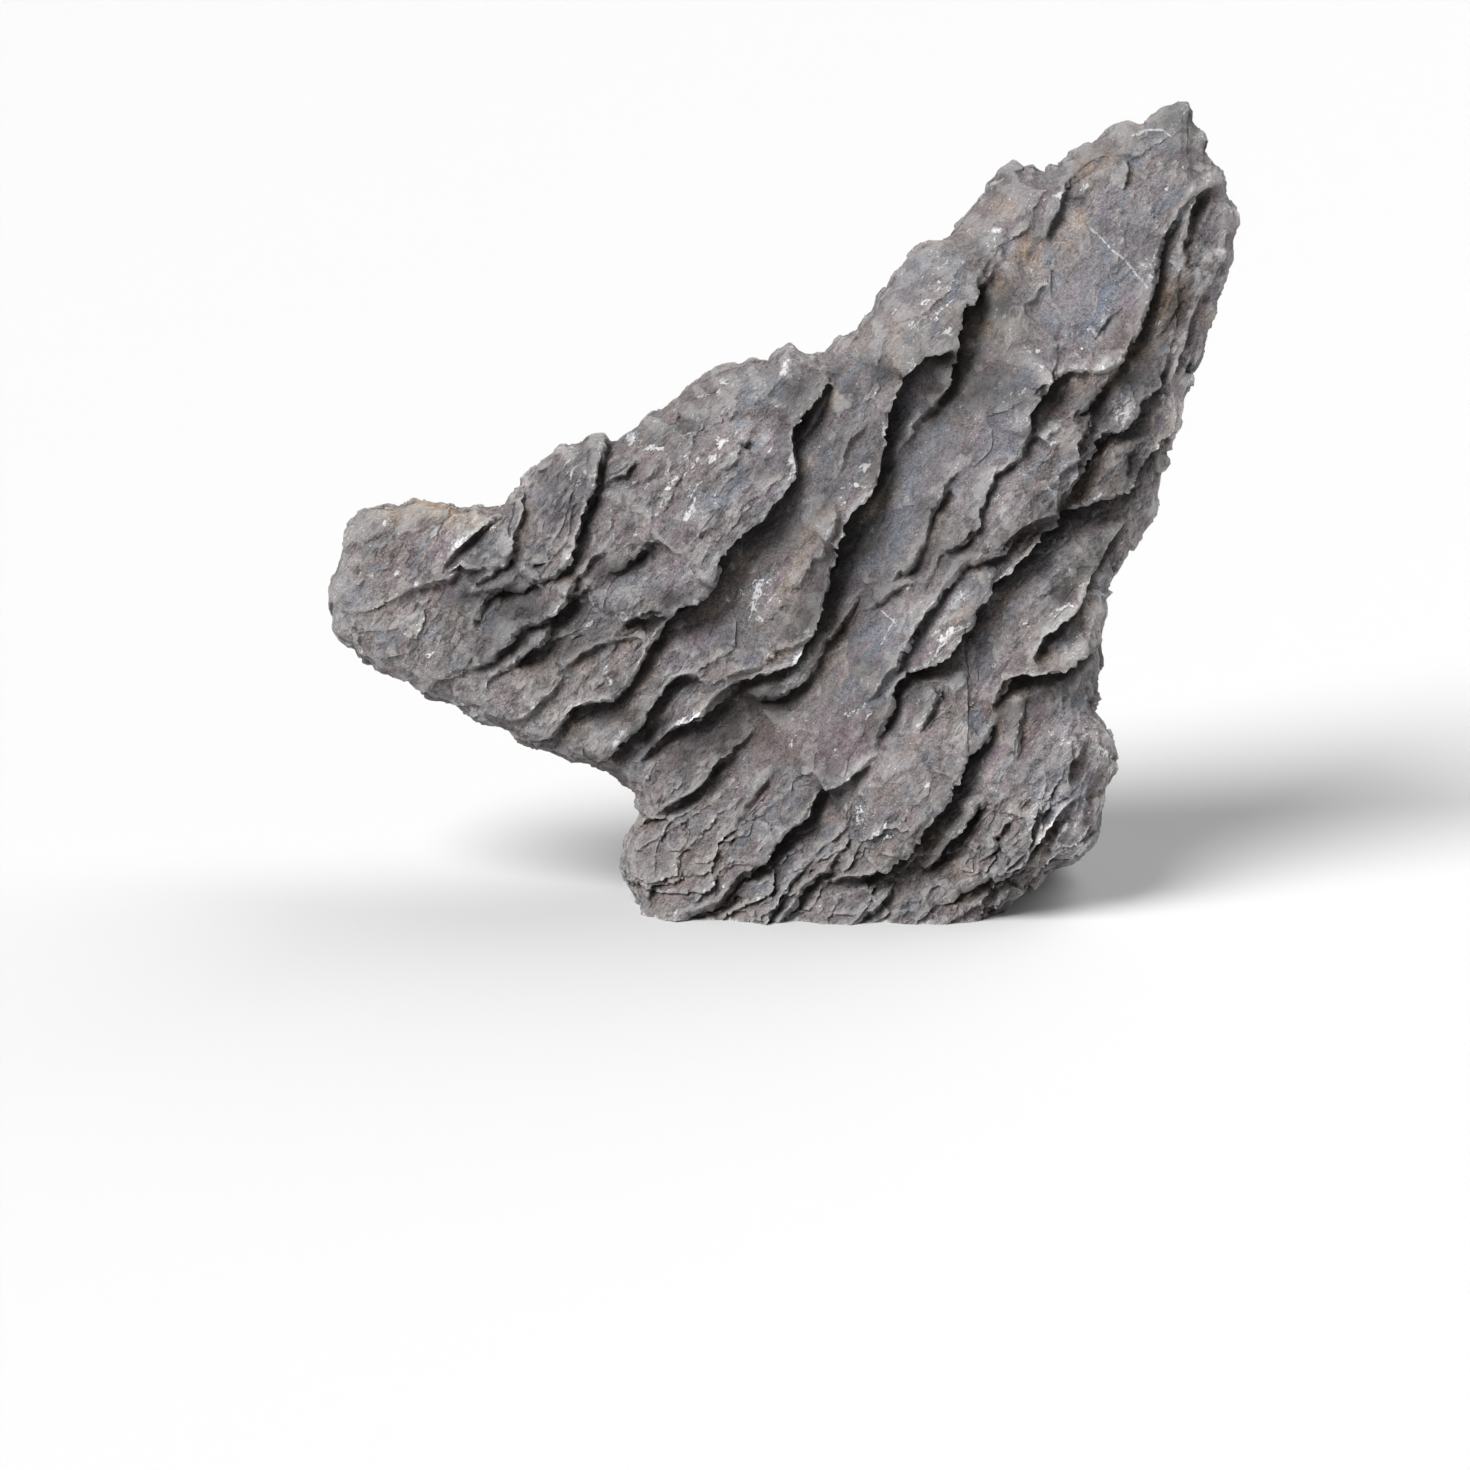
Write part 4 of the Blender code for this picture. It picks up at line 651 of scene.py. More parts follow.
def standing(drop):
    """How high a ledge drawn with that drop stands: a small one is lower than it is drawn."""
    size = np.clip((drop - SMALL_LEDGE_DROP) / (FULL_LEDGE_DROP - SMALL_LEDGE_DROP), 0, 1)
    return drop * (SMALL_LEDGE + (1 - SMALL_LEDGE) * size)


def overhang(drop):
    """How far a lip hangs out for each millimetre it stands up: nothing on a small step."""
    return OVERHANG * np.clip((drop - OVERHANG_FROM) / (OVERHANG_FULL - OVERHANG_FROM), 0, 1)


def eased(height, nearest, edges):
    """The height evened out among neighbours, except close to the lips."""
    share = np.clip((nearest - EASE_FROM) / EASE_REACH, 0, 1)
    for _ in range(EASE_ROUNDS):
        height = height + share * (neighbour_mean(height[:, None], edges)[:, 0] - height)
    return height


def flakes(points, size):
    """Overlapping scales. For each point it gives how far along its own scale the point lies in
    the direction of RUN, from about -0.5 to 0.5, and a number from -0.5 to 0.5 for the scale."""
    u, v, w = points.T
    run = (u * RUN[0] + v * RUN[1]) / size
    along_lip = (v * RUN[0] - u * RUN[1]) / (FLAKE_LENGTH * size)
    bed = (w - BED_SLOPE * run * size) / (FLAKE_THICKNESS * size)
    cells = np.column_stack([run, along_lip, bed])
    centres = cell_centres(cells)
    return cells[:, 0] - centres[:, 0], chance(centres) - 0.5


def girth(face):
    """Front and back depth at points u, v, smoothly between the places listed in GIRTH."""
    places = np.array(GIRTH, float)
    gap = face[:, None, :] - places[None, :, :2]
    weight = np.exp(-(gap**2).sum(2) / (2 * GIRTH_REACH**2)) + TINY
    weight **= 2
    weight /= weight.sum(1, keepdims=True)
    return weight @ places[:, 2], weight @ places[:, 3]


def rounding(distance, reach, rim_share):
    """A quarter round from rim_share at the stone's edge up to 1 at reach inside it."""
    inside = np.clip(distance / reach, 0, 1)
    return rim_share + (1 - rim_share) * np.sqrt(1 - (1 - inside) ** 2)


def terraced(height):
    """A smooth height broken into treads and risers, one for each bed."""
    level = np.floor(height / BED_STEP)
    part = height / BED_STEP - level
    risen = level + np.clip((part - 1 + BED_RISER) / BED_RISER, 0, 1)
    return BED_STEP * (risen + (1 - BED_RISER) / 2)


def shape(points, edges, deepening):
    """Turns the flat prism's points u, v, w, in millimetres, into the stone's form."""
    face = points[:, :2]
    layer = np.clip(points[:, 2] / PRISM_HALF, -1, 1)
    outline = np.array(OUTLINE + OUTLINE[:1], float)
    distance = distance_to_path(face, outline)[0]
    lips = face
    for amount, size, seed in LIP_WANDERS:
        lips = wandered(lips, amount, size, seed)
    for amount, size, seed in LIP_CHIPS:
        lips = chipped(lips, amount, size, seed)
    lift, hang, nearest = ledge_lift(lips, deepening)
    lift = eased(lift, nearest, edges)
    wander = BED_WANDER * smooth_noise(face, BED_WANDER_SIZE, BED_WANDER_SEED)
    bed_rise = BED_SLOPE * (face @ RUN) + wander
    front, back = girth(face)
    front = front * rounding(distance, FRONT_ROUNDING, FRONT_RIM_SHARE) + lift
    back = back * rounding(distance, BACK_ROUNDING, BACK_RIM_SHARE)
    back = terraced(back + bed_rise) - bed_rise
    depth = (layer + 1) / 2 * (front + back) - back
    hang = hang * np.clip(layer, 0, 1) * np.clip(distance / OVERHANG_REACH, 0, 1)
    return np.column_stack([face + hang[:, None] * RUN, depth])


def pushed(points, normals, height):
    """The points moved out along their normals, and with it over the lower floor on the face."""
    push = normals * height[:, None]
    push[:, :2] += OVERHANG * (height * np.clip(normals[:, 2], 0, 1))[:, None] * RUN
    return points + push


def broken_into_scales(points, normals, share):
    """Breaks the surface into scales on the faces and into short beds on the edges."""
    places = wandered(points, FLAKE_WANDER, FLAKE_WANDER_SIZE, FLAKE_SEED)
    run_in_scale, level = flakes(places, FLAKE_SIZE)
    facing = normals[:, 2]
    face_share = turned_share(np.abs(facing), SCALE_TURN)
    rise = run_in_scale * np.sign(facing) * FLAKE_LIFT * face_share
    step = level * (FLAKE_STEP * face_share + FLAKE_STEP_ON_EDGE * (1 - face_share))
    share = share * (1 - (1 - FLAKES_ON_BACK) * on_back(normals))
    return pushed(points, normals, (rise + step) * share * beyond_drawing(points, normals))


def turned_share(facing, turn):
    """0 to 1 as a surface turns the way that facing tells, by one of the turns named above."""
    gain, start = turn
    return np.clip(gain * facing - start, 0, 1)


def on_back(normals):
    """1 where the surface looks backwards, 0 on the edges and the face."""
    return turned_share(-normals[:, 2], BACK_TURN)


def beyond_drawing(points, normals):
    """1 on the back, the edges and the foot, down to FACE_WEAR on the face, where the ledges are
    drawn one by one."""
    above_foot = np.clip((points[:, 1] - FOOT_V) / FOOT_FADE, 0, 1)
    return 1 - (1 - FACE_WEAR) * (turned_share(normals[:, 2], SHEET_TURN) * above_foot)


def patchy(points, size, seed, strength):
    """A strength that comes and goes over the points, in lumps of that size."""
    mean, spread, least, most = strength
    return np.clip(mean + spread * smooth_noise(points, size, seed), least, most)


def bed_places(points):
    """Each point's reach from BED_ARC, its place along the lips there and its place across the
    beds, all in millimetres."""
    u, v, w = points.T
    reach = np.hypot(u - BED_ARC[0], v - BED_ARC[1])
    along = np.arctan2(v - BED_ARC[1], u - BED_ARC[0]) * BED_ARC_REACH
    return reach, along, w


def thin_beds(points, facing, size, lift, seed):
    """A saw-tooth of thin beds, whose lips fade in and out and look down the face towards the
    lower east; on the back they look the other way."""
    reach, _, w = bed_places(points)
    sway = BED_SWAY * smooth_noise(points, BED_SWAY_SIZE * size, seed)
    fray = BED_FRAY * smooth_noise(points, BED_FRAY_SIZE * size, seed + 1)
    phase = (reach - BED_DIP * w + size * (sway + fray)) / size
    tooth = phase - np.floor(phase)
    tooth = np.where(facing < 0, 1 - tooth, tooth)
    strength = patchy(points, BED_STRENGTH_SIZE * size, seed + 2, BED_STRENGTH)
    return lift * strength * (tooth - 0.5) * (BED_ON_RIM + (1 - BED_ON_RIM) * np.abs(facing))


def scoops(points, facing, size, depth, lip, seed):
    """Hollows dissolved out of the surface that meet in sharp crests, each with its lower lip
    standing up."""
    moved = wandered(points, SCOOP_WANDER * size, SCOOP_WANDER_SIZE * size, seed)
    reach, along, w = bed_places(moved)
    across = (w - BED_SLOPE * reach) * SCOOP_THINNESS
    cells = np.column_stack([reach, along / SCOOP_STRETCH, across]) / size + seed
    found = [noise.voronoi(cell) for cell in cells.tolist()]
    nearest = np.array([distances[0] for distances, _ in found])
    run = cells[:, 0] - np.array([centres[0][0] for _, centres in found])
    run = np.where(facing < 0, -run, run)
    strength = patchy(points, SCOOP_STRENGTH_SIZE * size, seed + 3, SCOOP_STRENGTH)
    strength *= wear(points[:, :2])
    strength *= SCOOP_BEYOND_FACE + (1 - SCOOP_BEYOND_FACE) * np.clip(facing, 0, 1)
    return strength * (depth * (nearest**2 - SCOOP_LEVEL) + lip * run)


def broken_faces(points, size, slope, seed):
    """Small broken faces about size across, each tilted its own way by up to about the slope."""
    cells = wandered(points, BROKEN_WANDER * size, size, seed) / size + seed
    centres = cell_centres(cells)
    tilt = 2 * np.column_stack([chance(centres + axis) for axis in range(3)]) - 1
    return slope * size * ((cells - centres) * tilt).sum(1)


def wear(face):
    """How strongly points u, v are worn, smoothly between the places listed in WEAR."""
    places = np.array(WEAR, float)
    gap = face[:, None, :] - places[None, :, :2]
    weight = 1 / ((gap**2).sum(2) + WEAR_REACH**2) ** 2
    return weight @ places[:, 2] / weight.sum(1)


def weathered(points, normals, share):
    """The height that rain and breakage leave on the surface, in millimetres."""
    height = np.zeros(len(points))
    for size, lift, seed in THIN_BEDS:
        height += thin_beds(points, normals[:, 2], size, lift, seed)
    for size, lift, seed in BACK_BEDS:
        height += on_back(normals) * thin_beds(points, normals[:, 2], size, lift, seed)
    for size, depth, lip, seed in SCOOPS:
        height += scoops(points, normals[:, 2], size, depth, lip, seed)
    for size, slope, seed in BROKEN_FACES:
        height += broken_faces(points, size, slope, seed)
    height *= share * beyond_drawing(points, normals)
    for size, lift, seed in LUMPS:
        height += lift * smooth_noise(points, size, seed)
    return height


def stand_up(points):
    """From the drawing's millimetres to the standing stone's metres, on the ground at z = 0."""
    lean = math.radians(LEAN_DEG)
    u, v, w = points.T
    v = v - GROUND_V
    w = w - GROUND_W
    x = u - CENTRE_X
    y = v * math.sin(lean) - w * math.cos(lean) - CENTRE_Y
    z = v * math.cos(lean) + w * math.sin(lean)
    return np.column_stack([x, y, z]) * MM


def prism():
    """The outline as a flat slab in the drawing's plane, in millimetres."""
    bm = bmesh.new()
    ring = [bm.verts.new((u, v, -PRISM_HALF)) for u, v in OUTLINE]
    face = bm.faces.new(ring)
    made = bmesh.ops.extrude_face_region(bm, geom=[face])
    top = [item for item in made["geom"] if isinstance(item, bmesh.types.BMVert)]
    bmesh.ops.translate(bm, verts=top, vec=(0, 0, 2 * PRISM_HALF))
    bmesh.ops.recalc_face_normals(bm, faces=bm.faces)
    mesh = bpy.data.meshes.new(STONE)
    bm.to_mesh(mesh)
    bm.free()
    return mesh


def with_modifier(mesh, kind, **settings):
    """The mesh that a modifier of that kind makes of this one."""
    holder = bpy.data.objects.new("holder", mesh)
    bpy.context.scene.collection.objects.link(holder)
    modifier = holder.modifiers.new(kind.title(), kind)
    for name, value in settings.items():
        setattr(modifier, name, value)
    graph = bpy.context.evaluated_depsgraph_get()
    made = bpy.data.meshes.new_from_object(holder.evaluated_get(graph))
    bpy.data.objects.remove(holder)
    bpy.data.meshes.remove(mesh)
    return made


def point_array(collection, name):
    """One vector for each item of a mesh's collection, as rows."""
    values = np.empty(len(collection) * 3)
    collection.foreach_get(name, values)
    return values.reshape(-1, 3)


def set_points(mesh, points):
    """Moves the mesh's vertices to the points."""
    mesh.vertices.foreach_set("co", points.ravel())
    mesh.update()


def cut_foot(mesh):
    """Cuts the stone off flat at the ground and closes the cut."""
    bm = bmesh.new()
    bm.from_mesh(mesh)
    bmesh.ops.bisect_plane(
        bm, geom=bm.verts[:] + bm.edges[:] + bm.faces[:], dist=ON_CUT,
        plane_co=Vector((0, 0, 0)), plane_no=Vector((0, 0, 1)), clear_inner=True,
    )
    rim = [edge for edge in bm.edges if edge.is_boundary]
    bmesh.ops.holes_fill(bm, edges=rim)
    bmesh.ops.triangulate(bm, faces=[face for face in bm.faces if len(face.verts) > 4])
    bmesh.ops.recalc_face_normals(bm, faces=bm.faces)
    bm.to_mesh(mesh)
    bm.free()


def neighbour_mean(values, edges):
    """Each point's mean of its neighbours' values."""
    total = np.zeros_like(values)
    count = np.bincount(edges.ravel(), minlength=len(values))
    for axis in range(values.shape[1]):
        column = np.bincount(edges[:, 0], weights=values[edges[:, 1], axis], minlength=len(values))
        column += np.bincount(edges[:, 1], weights=values[edges[:, 0], axis], minlength=len(values))
        total[:, axis] = column / np.maximum(count, 1)
    return total


def smoothed(values, edges, rounds):
    """The values after that many rounds of evening out among neighbours."""
    for _ in range(rounds):
        values = neighbour_mean(values, edges)
    return values


def away_from_lips(mesh, normals):
    """1 where the surface is flat or hollow, down to LIP_WEAR on the lips, which keep clean edges."""
    points = point_array(mesh.vertices, "co")
    edges = edge_array(mesh)
    ridge = ((points - smoothed(points, edges, LIP_ROUNDS)) * normals).sum(1)
    on_sheet = turned_share(np.abs(normals[:, 2]), SHEET_TURN)
    share = 1 - (1 - LIP_WEAR) * (on_sheet * np.clip(ridge / LIP_RIDGE, 0, 1))[:, None]
    for _ in range(LIP_SPREAD):
        share = np.minimum(share, neighbour_mean(share, edges))
    return share[:, 0]


def calm_normals(mesh):
    """The mesh's normals, evened out among neighbours so that nothing pushed out along them frays."""
    normals = point_array(mesh.vertex_normals, "vector")
    edges = edge_array(mesh)
    for _ in range(CALM_ROUNDS):
        normals = normals + neighbour_mean(normals, edges)
        normals /= np.linalg.norm(normals, axis=1)[:, None] + TINY
    return normals


def edge_array(mesh):
    """The two ends of each edge, as rows."""
    edges = np.empty(len(mesh.edges) * 2, np.int64)
    mesh.edges.foreach_get("vertices", edges)
    return edges.reshape(-1, 2)


def ridge_and_hollow(mesh):
    """How far each point stands out of, or sinks into, the surface smoothed around it, in mm."""
    points = point_array(mesh.vertices, "co") / MM
    normals = point_array(mesh.vertex_normals, "vector")
    edges = edge_array(mesh)
    smooth = points
    reliefs = []
    for rounds in RELIEF_ROUNDS:
        smooth = smoothed(smooth, edges, rounds)
        reliefs.append(((points - smooth) * normals).sum(1))
    return reliefs


def shelter(mesh):
    """The share of the sky around each point that nearby rock hides, most of all the sky that the
    key light comes from. The material paints shade with it."""
    bm = bmesh.new()
    bm.from_mesh(mesh)
    tree = BVHTree.FromBMesh(bm)
    bm.free()
    points = point_array(mesh.vertices, "co")
    normals = point_array(mesh.vertex_normals, "vector")
    hidden = np.zeros(len(points))
    weight = np.zeros(len(points))
    # The way the key light comes from: shade is painted most where the sky that way is hidden.
    rain = np.array(LIGHT_WAY) / np.linalg.norm(LIGHT_WAY)
    starts = [Vector(start) for start in (points + SHELTER_START * MM * normals).tolist()]
    for ray in sky_rays():
        ways = normals + ray * SHELTER_SPREAD
        ways /= np.linalg.norm(ways, axis=1)[:, None]
        reach = SHELTER_REACH * MM
        hits = [tree.ray_cast(start, way, reach)[3] for start, way in zip(starts, ways.tolist())]
        matter = np.clip(SHADE_EVENNESS + ways @ rain, LEAST_LIGHT_WEIGHT, None)
        hidden += matter * np.array([0.0 if hit is None else 1 - hit / reach for hit in hits])
        weight += matter
    return hidden / weight


def sky_rays():
    """Directions spread evenly over a sphere."""
    turn = math.pi * (3 - math.sqrt(5))
    for number in range(SHELTER_RAYS):
        height = 1 - 2 * (number + 0.5) / SHELTER_RAYS
        width = math.sqrt(1 - height * height)
        yield np.array([width * math.cos(turn * number), width * math.sin(turn * number), height])


def patch_mask(face, patches):
    """How much of a stain lies at points u, v: each patch is a soft ellipse, turned in the face."""
    mask = np.zeros(len(face))
    for u, v, half_long, half_short, turn, strength in patches:
        way = np.array([math.cos(math.radians(turn)), math.sin(math.radians(turn))])
        offset = face - (u, v)
        long = offset @ way / half_long
        short = (offset[:, 1] * way[0] - offset[:, 0] * way[1]) / half_short
        mask = np.maximum(mask, strength * np.exp(-(long**2 + short**2)))
    return mask


def add_attribute(mesh, name, values):
    """Stores one number for each vertex under that name."""
    attribute = mesh.attributes.new(name, "FLOAT", "POINT")
    attribute.data.foreach_set("value", values.astype(np.float32))


def paint_masks(mesh, slab):
    """Stores on the mesh where the rock is sheltered, worn and stained, and where light and shade are
    painted, for its material.
    """
    fine, broad = ridge_and_hollow(mesh)
    add_attribute(mesh, "shelter", shelter(mesh))
    add_attribute(mesh, "fine_relief", fine)
    add_attribute(mesh, "broad_relief", broad)
    add_attribute(mesh, "wear", wear(slab[:, :2]))
    places = wandered(slab, *STAIN_WANDER)[:, :2]
    on_face = np.clip(slab[:, 2] / FACE_FADE + 0.5, 0, 1)
    for name, patches in PATCHES.items():
        add_attribute(mesh, name, patch_mask(places, patches) * on_face)


def lie_down(points):
    """From the standing stone's metres back to the drawing's millimetres."""
    lean = math.radians(LEAN_DEG)
    x, y, z = (points / MM).T
    y = y + CENTRE_Y
    v = y * math.sin(lean) + z * math.cos(lean) + GROUND_V
    w = z * math.sin(lean) - y * math.cos(lean) + GROUND_W
    return np.column_stack([x + CENTRE_X, v, w])


def stone_mesh(settings):
    """The finished stone, standing on the ground at the origin, in metres."""
    voxel = settings.grain / MM
    mesh = with_modifier(prism(), "REMESH", mode="VOXEL", voxel_size=voxel)
    set_points(mesh, shape(point_array(mesh.vertices, "co"), edge_array(mesh), settings.ledge_depth))
    mesh = with_modifier(mesh, "REMESH", mode="VOXEL", voxel_size=voxel)
    normals = calm_normals(mesh)
    share = away_from_lips(mesh, normals)
    points = broken_into_scales(point_array(mesh.vertices, "co"), normals, share)
    height = settings.weathering * weathered(points, normals, share)
    set_points(mesh, stand_up(pushed(points, normals, height)))
    faces = 2 * len(mesh.polygons)
    if faces > MOST_TRIANGLES:
        mesh = with_modifier(mesh, "DECIMATE", ratio=MOST_TRIANGLES / faces)
    cut_foot(mesh)
    mesh.shade_smooth()
    mesh.set_sharp_from_angle(angle=math.radians(SHARP_DEG))
    return mesh


class Wire:
    """A node socket that takes part in sums. Each sum adds one Math node to its board."""

    def __init__(self, board, socket):
        self.board = board
        self.socket = socket

    def __add__(self, other):
        return self.board.maths("ADD", self, other)

    def __sub__(self, other):
        return self.board.maths("SUBTRACT", self, other)

    def __rsub__(self, other):
        return self.board.maths("SUBTRACT", other, self)

    def __mul__(self, other):
        return self.board.maths("MULTIPLY", self, other)

    def __truediv__(self, other):
        return self.board.maths("DIVIDE", self, other)

    __radd__ = __add__
    __rmul__ = __mul__


class Board:
    """The nodes of one material."""

    def __init__(self, name, roughness):
        self.material = bpy.data.materials.new(name)
        self.material.use_nodes = True
        self.tree = self.material.node_tree
        self.shader = self.tree.nodes["Principled BSDF"]
        self.plug(self.shader.inputs["Roughness"], roughness)

    def plug(self, socket, value):
        """Links a Wire to a socket, or sets the socket to a plain value."""
        if isinstance(value, Wire):
            self.tree.links.new(value.socket, socket)
        else:
            socket.default_value = value

    def node(self, kind, settings=None, inputs=None, output=0):
        """Adds a node with its settings, then its inputs by name or number, and gives one output."""
        node = self.tree.nodes.new(kind)
        for name, value in (settings or {}).items():
            setattr(node, name, value)
        for key, value in (inputs or {}).items():
            self.plug(node.inputs[key], value)
        return Wire(self, node.outputs[output])

    def maths(self, operation, first, second=0.0):
        return self.node("ShaderNodeMath", {"operation": operation}, {0: first, 1: second})

    def vector(self, operation, first, second=(0.0, 0.0, 0.0), output=0):
        return self.node("ShaderNodeVectorMath", {"operation": operation}, {0: first, 1: second}, output)

    def scaled(self, vector, amount):
        return self.node("ShaderNodeVectorMath", {"operation": "SCALE"}, {0: vector, "Scale": amount})

    def step(self, value, low, high):
        """0 below low, 1 above high and smooth between them."""
        inputs = {"Value": value, "From Min": low, "From Max": high}
        return self.node("ShaderNodeMapRange", {"interpolation_type": "SMOOTHSTEP"}, inputs)

    def mix(self, share, first, second):
        return self.node("ShaderNodeMix", {"data_type": "RGBA"}, {0: share, 6: first, 7: second}, output=2)

    def stained(self, colour, share, stain, most=None):
        """The colour with that share of a stain laid over it, and at most so much of it."""
        if most is not None:
            share = self.maths("MINIMUM", share, most)
        return self.mix(share, colour, (*stain, 1.0))

    def mask(self, name):
        """The number that the mesh stores under that name."""
        return self.node("ShaderNodeAttribute", {"attribute_name": name}, output=2)

    def turned(self, place, location=(0, 0, 0), rotation=(0, 0, 0), scale=(1, 1, 1)):
        inputs = {"Vector": place, "Location": location, "Rotation": rotation, "Scale": scale}
        return self.node("ShaderNodeMapping", {"vector_type": "POINT"}, inputs)

    def cloud(self, place, size, detail=3.0, roughness=0.55, distortion=0.0):
        """Noise from 0 to 1 whose lumps are about size across, in the units of place."""
        inputs = {"Vector": place, "Scale": 1.0 / size, "Detail": detail, "Roughness": roughness,
                  "Distortion": distortion}
        return self.node("ShaderNodeTexNoise", {}, inputs)

    def drifted(self, place, size, amount, detail=2.0):
        """The place moved about smoothly, by up to about half the amount, in lumps of that size."""
        inputs = {"Vector": place, "Scale": 1.0 / size, "Detail": detail}
        drift = self.node("ShaderNodeTexNoise", {}, inputs, output=1)
        drift = self.vector("SUBTRACT", drift, (0.5, 0.5, 0.5))
        return self.vector("ADD", place, self.scaled(drift, amount))

    def facets(self, place, size):
        """Small broken faces about size across, each tilted its own way: their height and tone."""
        inputs = {"Vector": place, "Scale": 1.0 / size}
        colour = self.node("ShaderNodeTexVoronoi", {}, inputs, output="Color")
        centre = Wire(self, colour.socket.node.outputs["Position"])
        tilt = self.vector("SUBTRACT", colour, (0.5, 0.5, 0.5))
        height = self.vector("DOT_PRODUCT", tilt, self.vector("SUBTRACT", place, centre), output=1)
        return height, self.node("ShaderNodeSeparateColor", {}, {0: colour})

    def sheets(self, beds, size, place, reach):
        """Thin sheets that step down across the lips, in runs about reach long: their height, and
        how near a point is to the foot of the step above it."""
        sway = self.cloud(self.turned(beds, scale=(1.0, 0.5, 1.0)), SHEET_SWAY_SIZE * size)
        across = self.node("ShaderNodeSeparateXYZ", {}, {0: beds}, output=0) / size + sway * SHEET_SWAY
        tooth = self.maths("FRACT", across)
        strength = self.step(self.cloud(place, reach, detail=1.0), 0.46, 0.64)
        foot = (1.0 - self.step(tooth, 0.02, 0.16)) * strength
        return (1.0 - tooth) * strength * -SHEET_RISE * size, foot

    def near_line(self, place, start, end):
        """How far place is from the straight line between two points, in the plane of the face."""
        run = (end[0] - start[0], end[1] - start[1], 0.0)
        length = run[0] ** 2 + run[1] ** 2
        offset = self.vector("MULTIPLY", self.vector("SUBTRACT", place, (*start, 0.0)), (1.0, 1.0, 0.0))
        along = self.vector("DOT_PRODUCT", offset, run, output=1) / length
        along = self.maths("MINIMUM", self.maths("MAXIMUM", along, 0.0), 1.0)
        foot = self.scaled(run, along)
        return self.vector("LENGTH", self.vector("SUBTRACT", offset, foot), output=1)

    def lines(self, place, places):
        """1 along each of the lines u0, v0, u1, v1, half width and 0 away from them."""
        drawn = None
        for u0, v0, u1, v1, half_width in places:
            line = 1.0 - self.step(self.near_line(place, (u0, v0), (u1, v1)) / half_width, 0.5, 1.5)
            drawn = line if drawn is None else self.maths("MAXIMUM", drawn, line)
        return drawn

    def bump(self, height, strength, distance):
        """Tilts the surface by a height that is in units of the distance."""
        inputs = {"Strength": strength, "Distance": distance, "Height": height}
        self.plug(self.shader.inputs["Normal"], self.node("ShaderNodeBump", {}, inputs))


def shade(colour, factor):
    """The colour made darker or lighter by a plain number."""
    return (*[channel * factor for channel in colour], 1.0)


def drawing_place(board):
    """Object coordinates turned and moved to the drawing's u, v and w, in millimetres."""
    lean = math.radians(LEAN_DEG)
    place = board.node("ShaderNodeTexCoord", output=3)
    location = (CENTRE_X, GROUND_V + CENTRE_Y * math.sin(lean), GROUND_W - CENTRE_Y * math.cos(lean))
    return board.turned(place, location, (lean - math.pi / 2, 0.0, 0.0), (1 / MM, 1 / MM, 1 / MM))


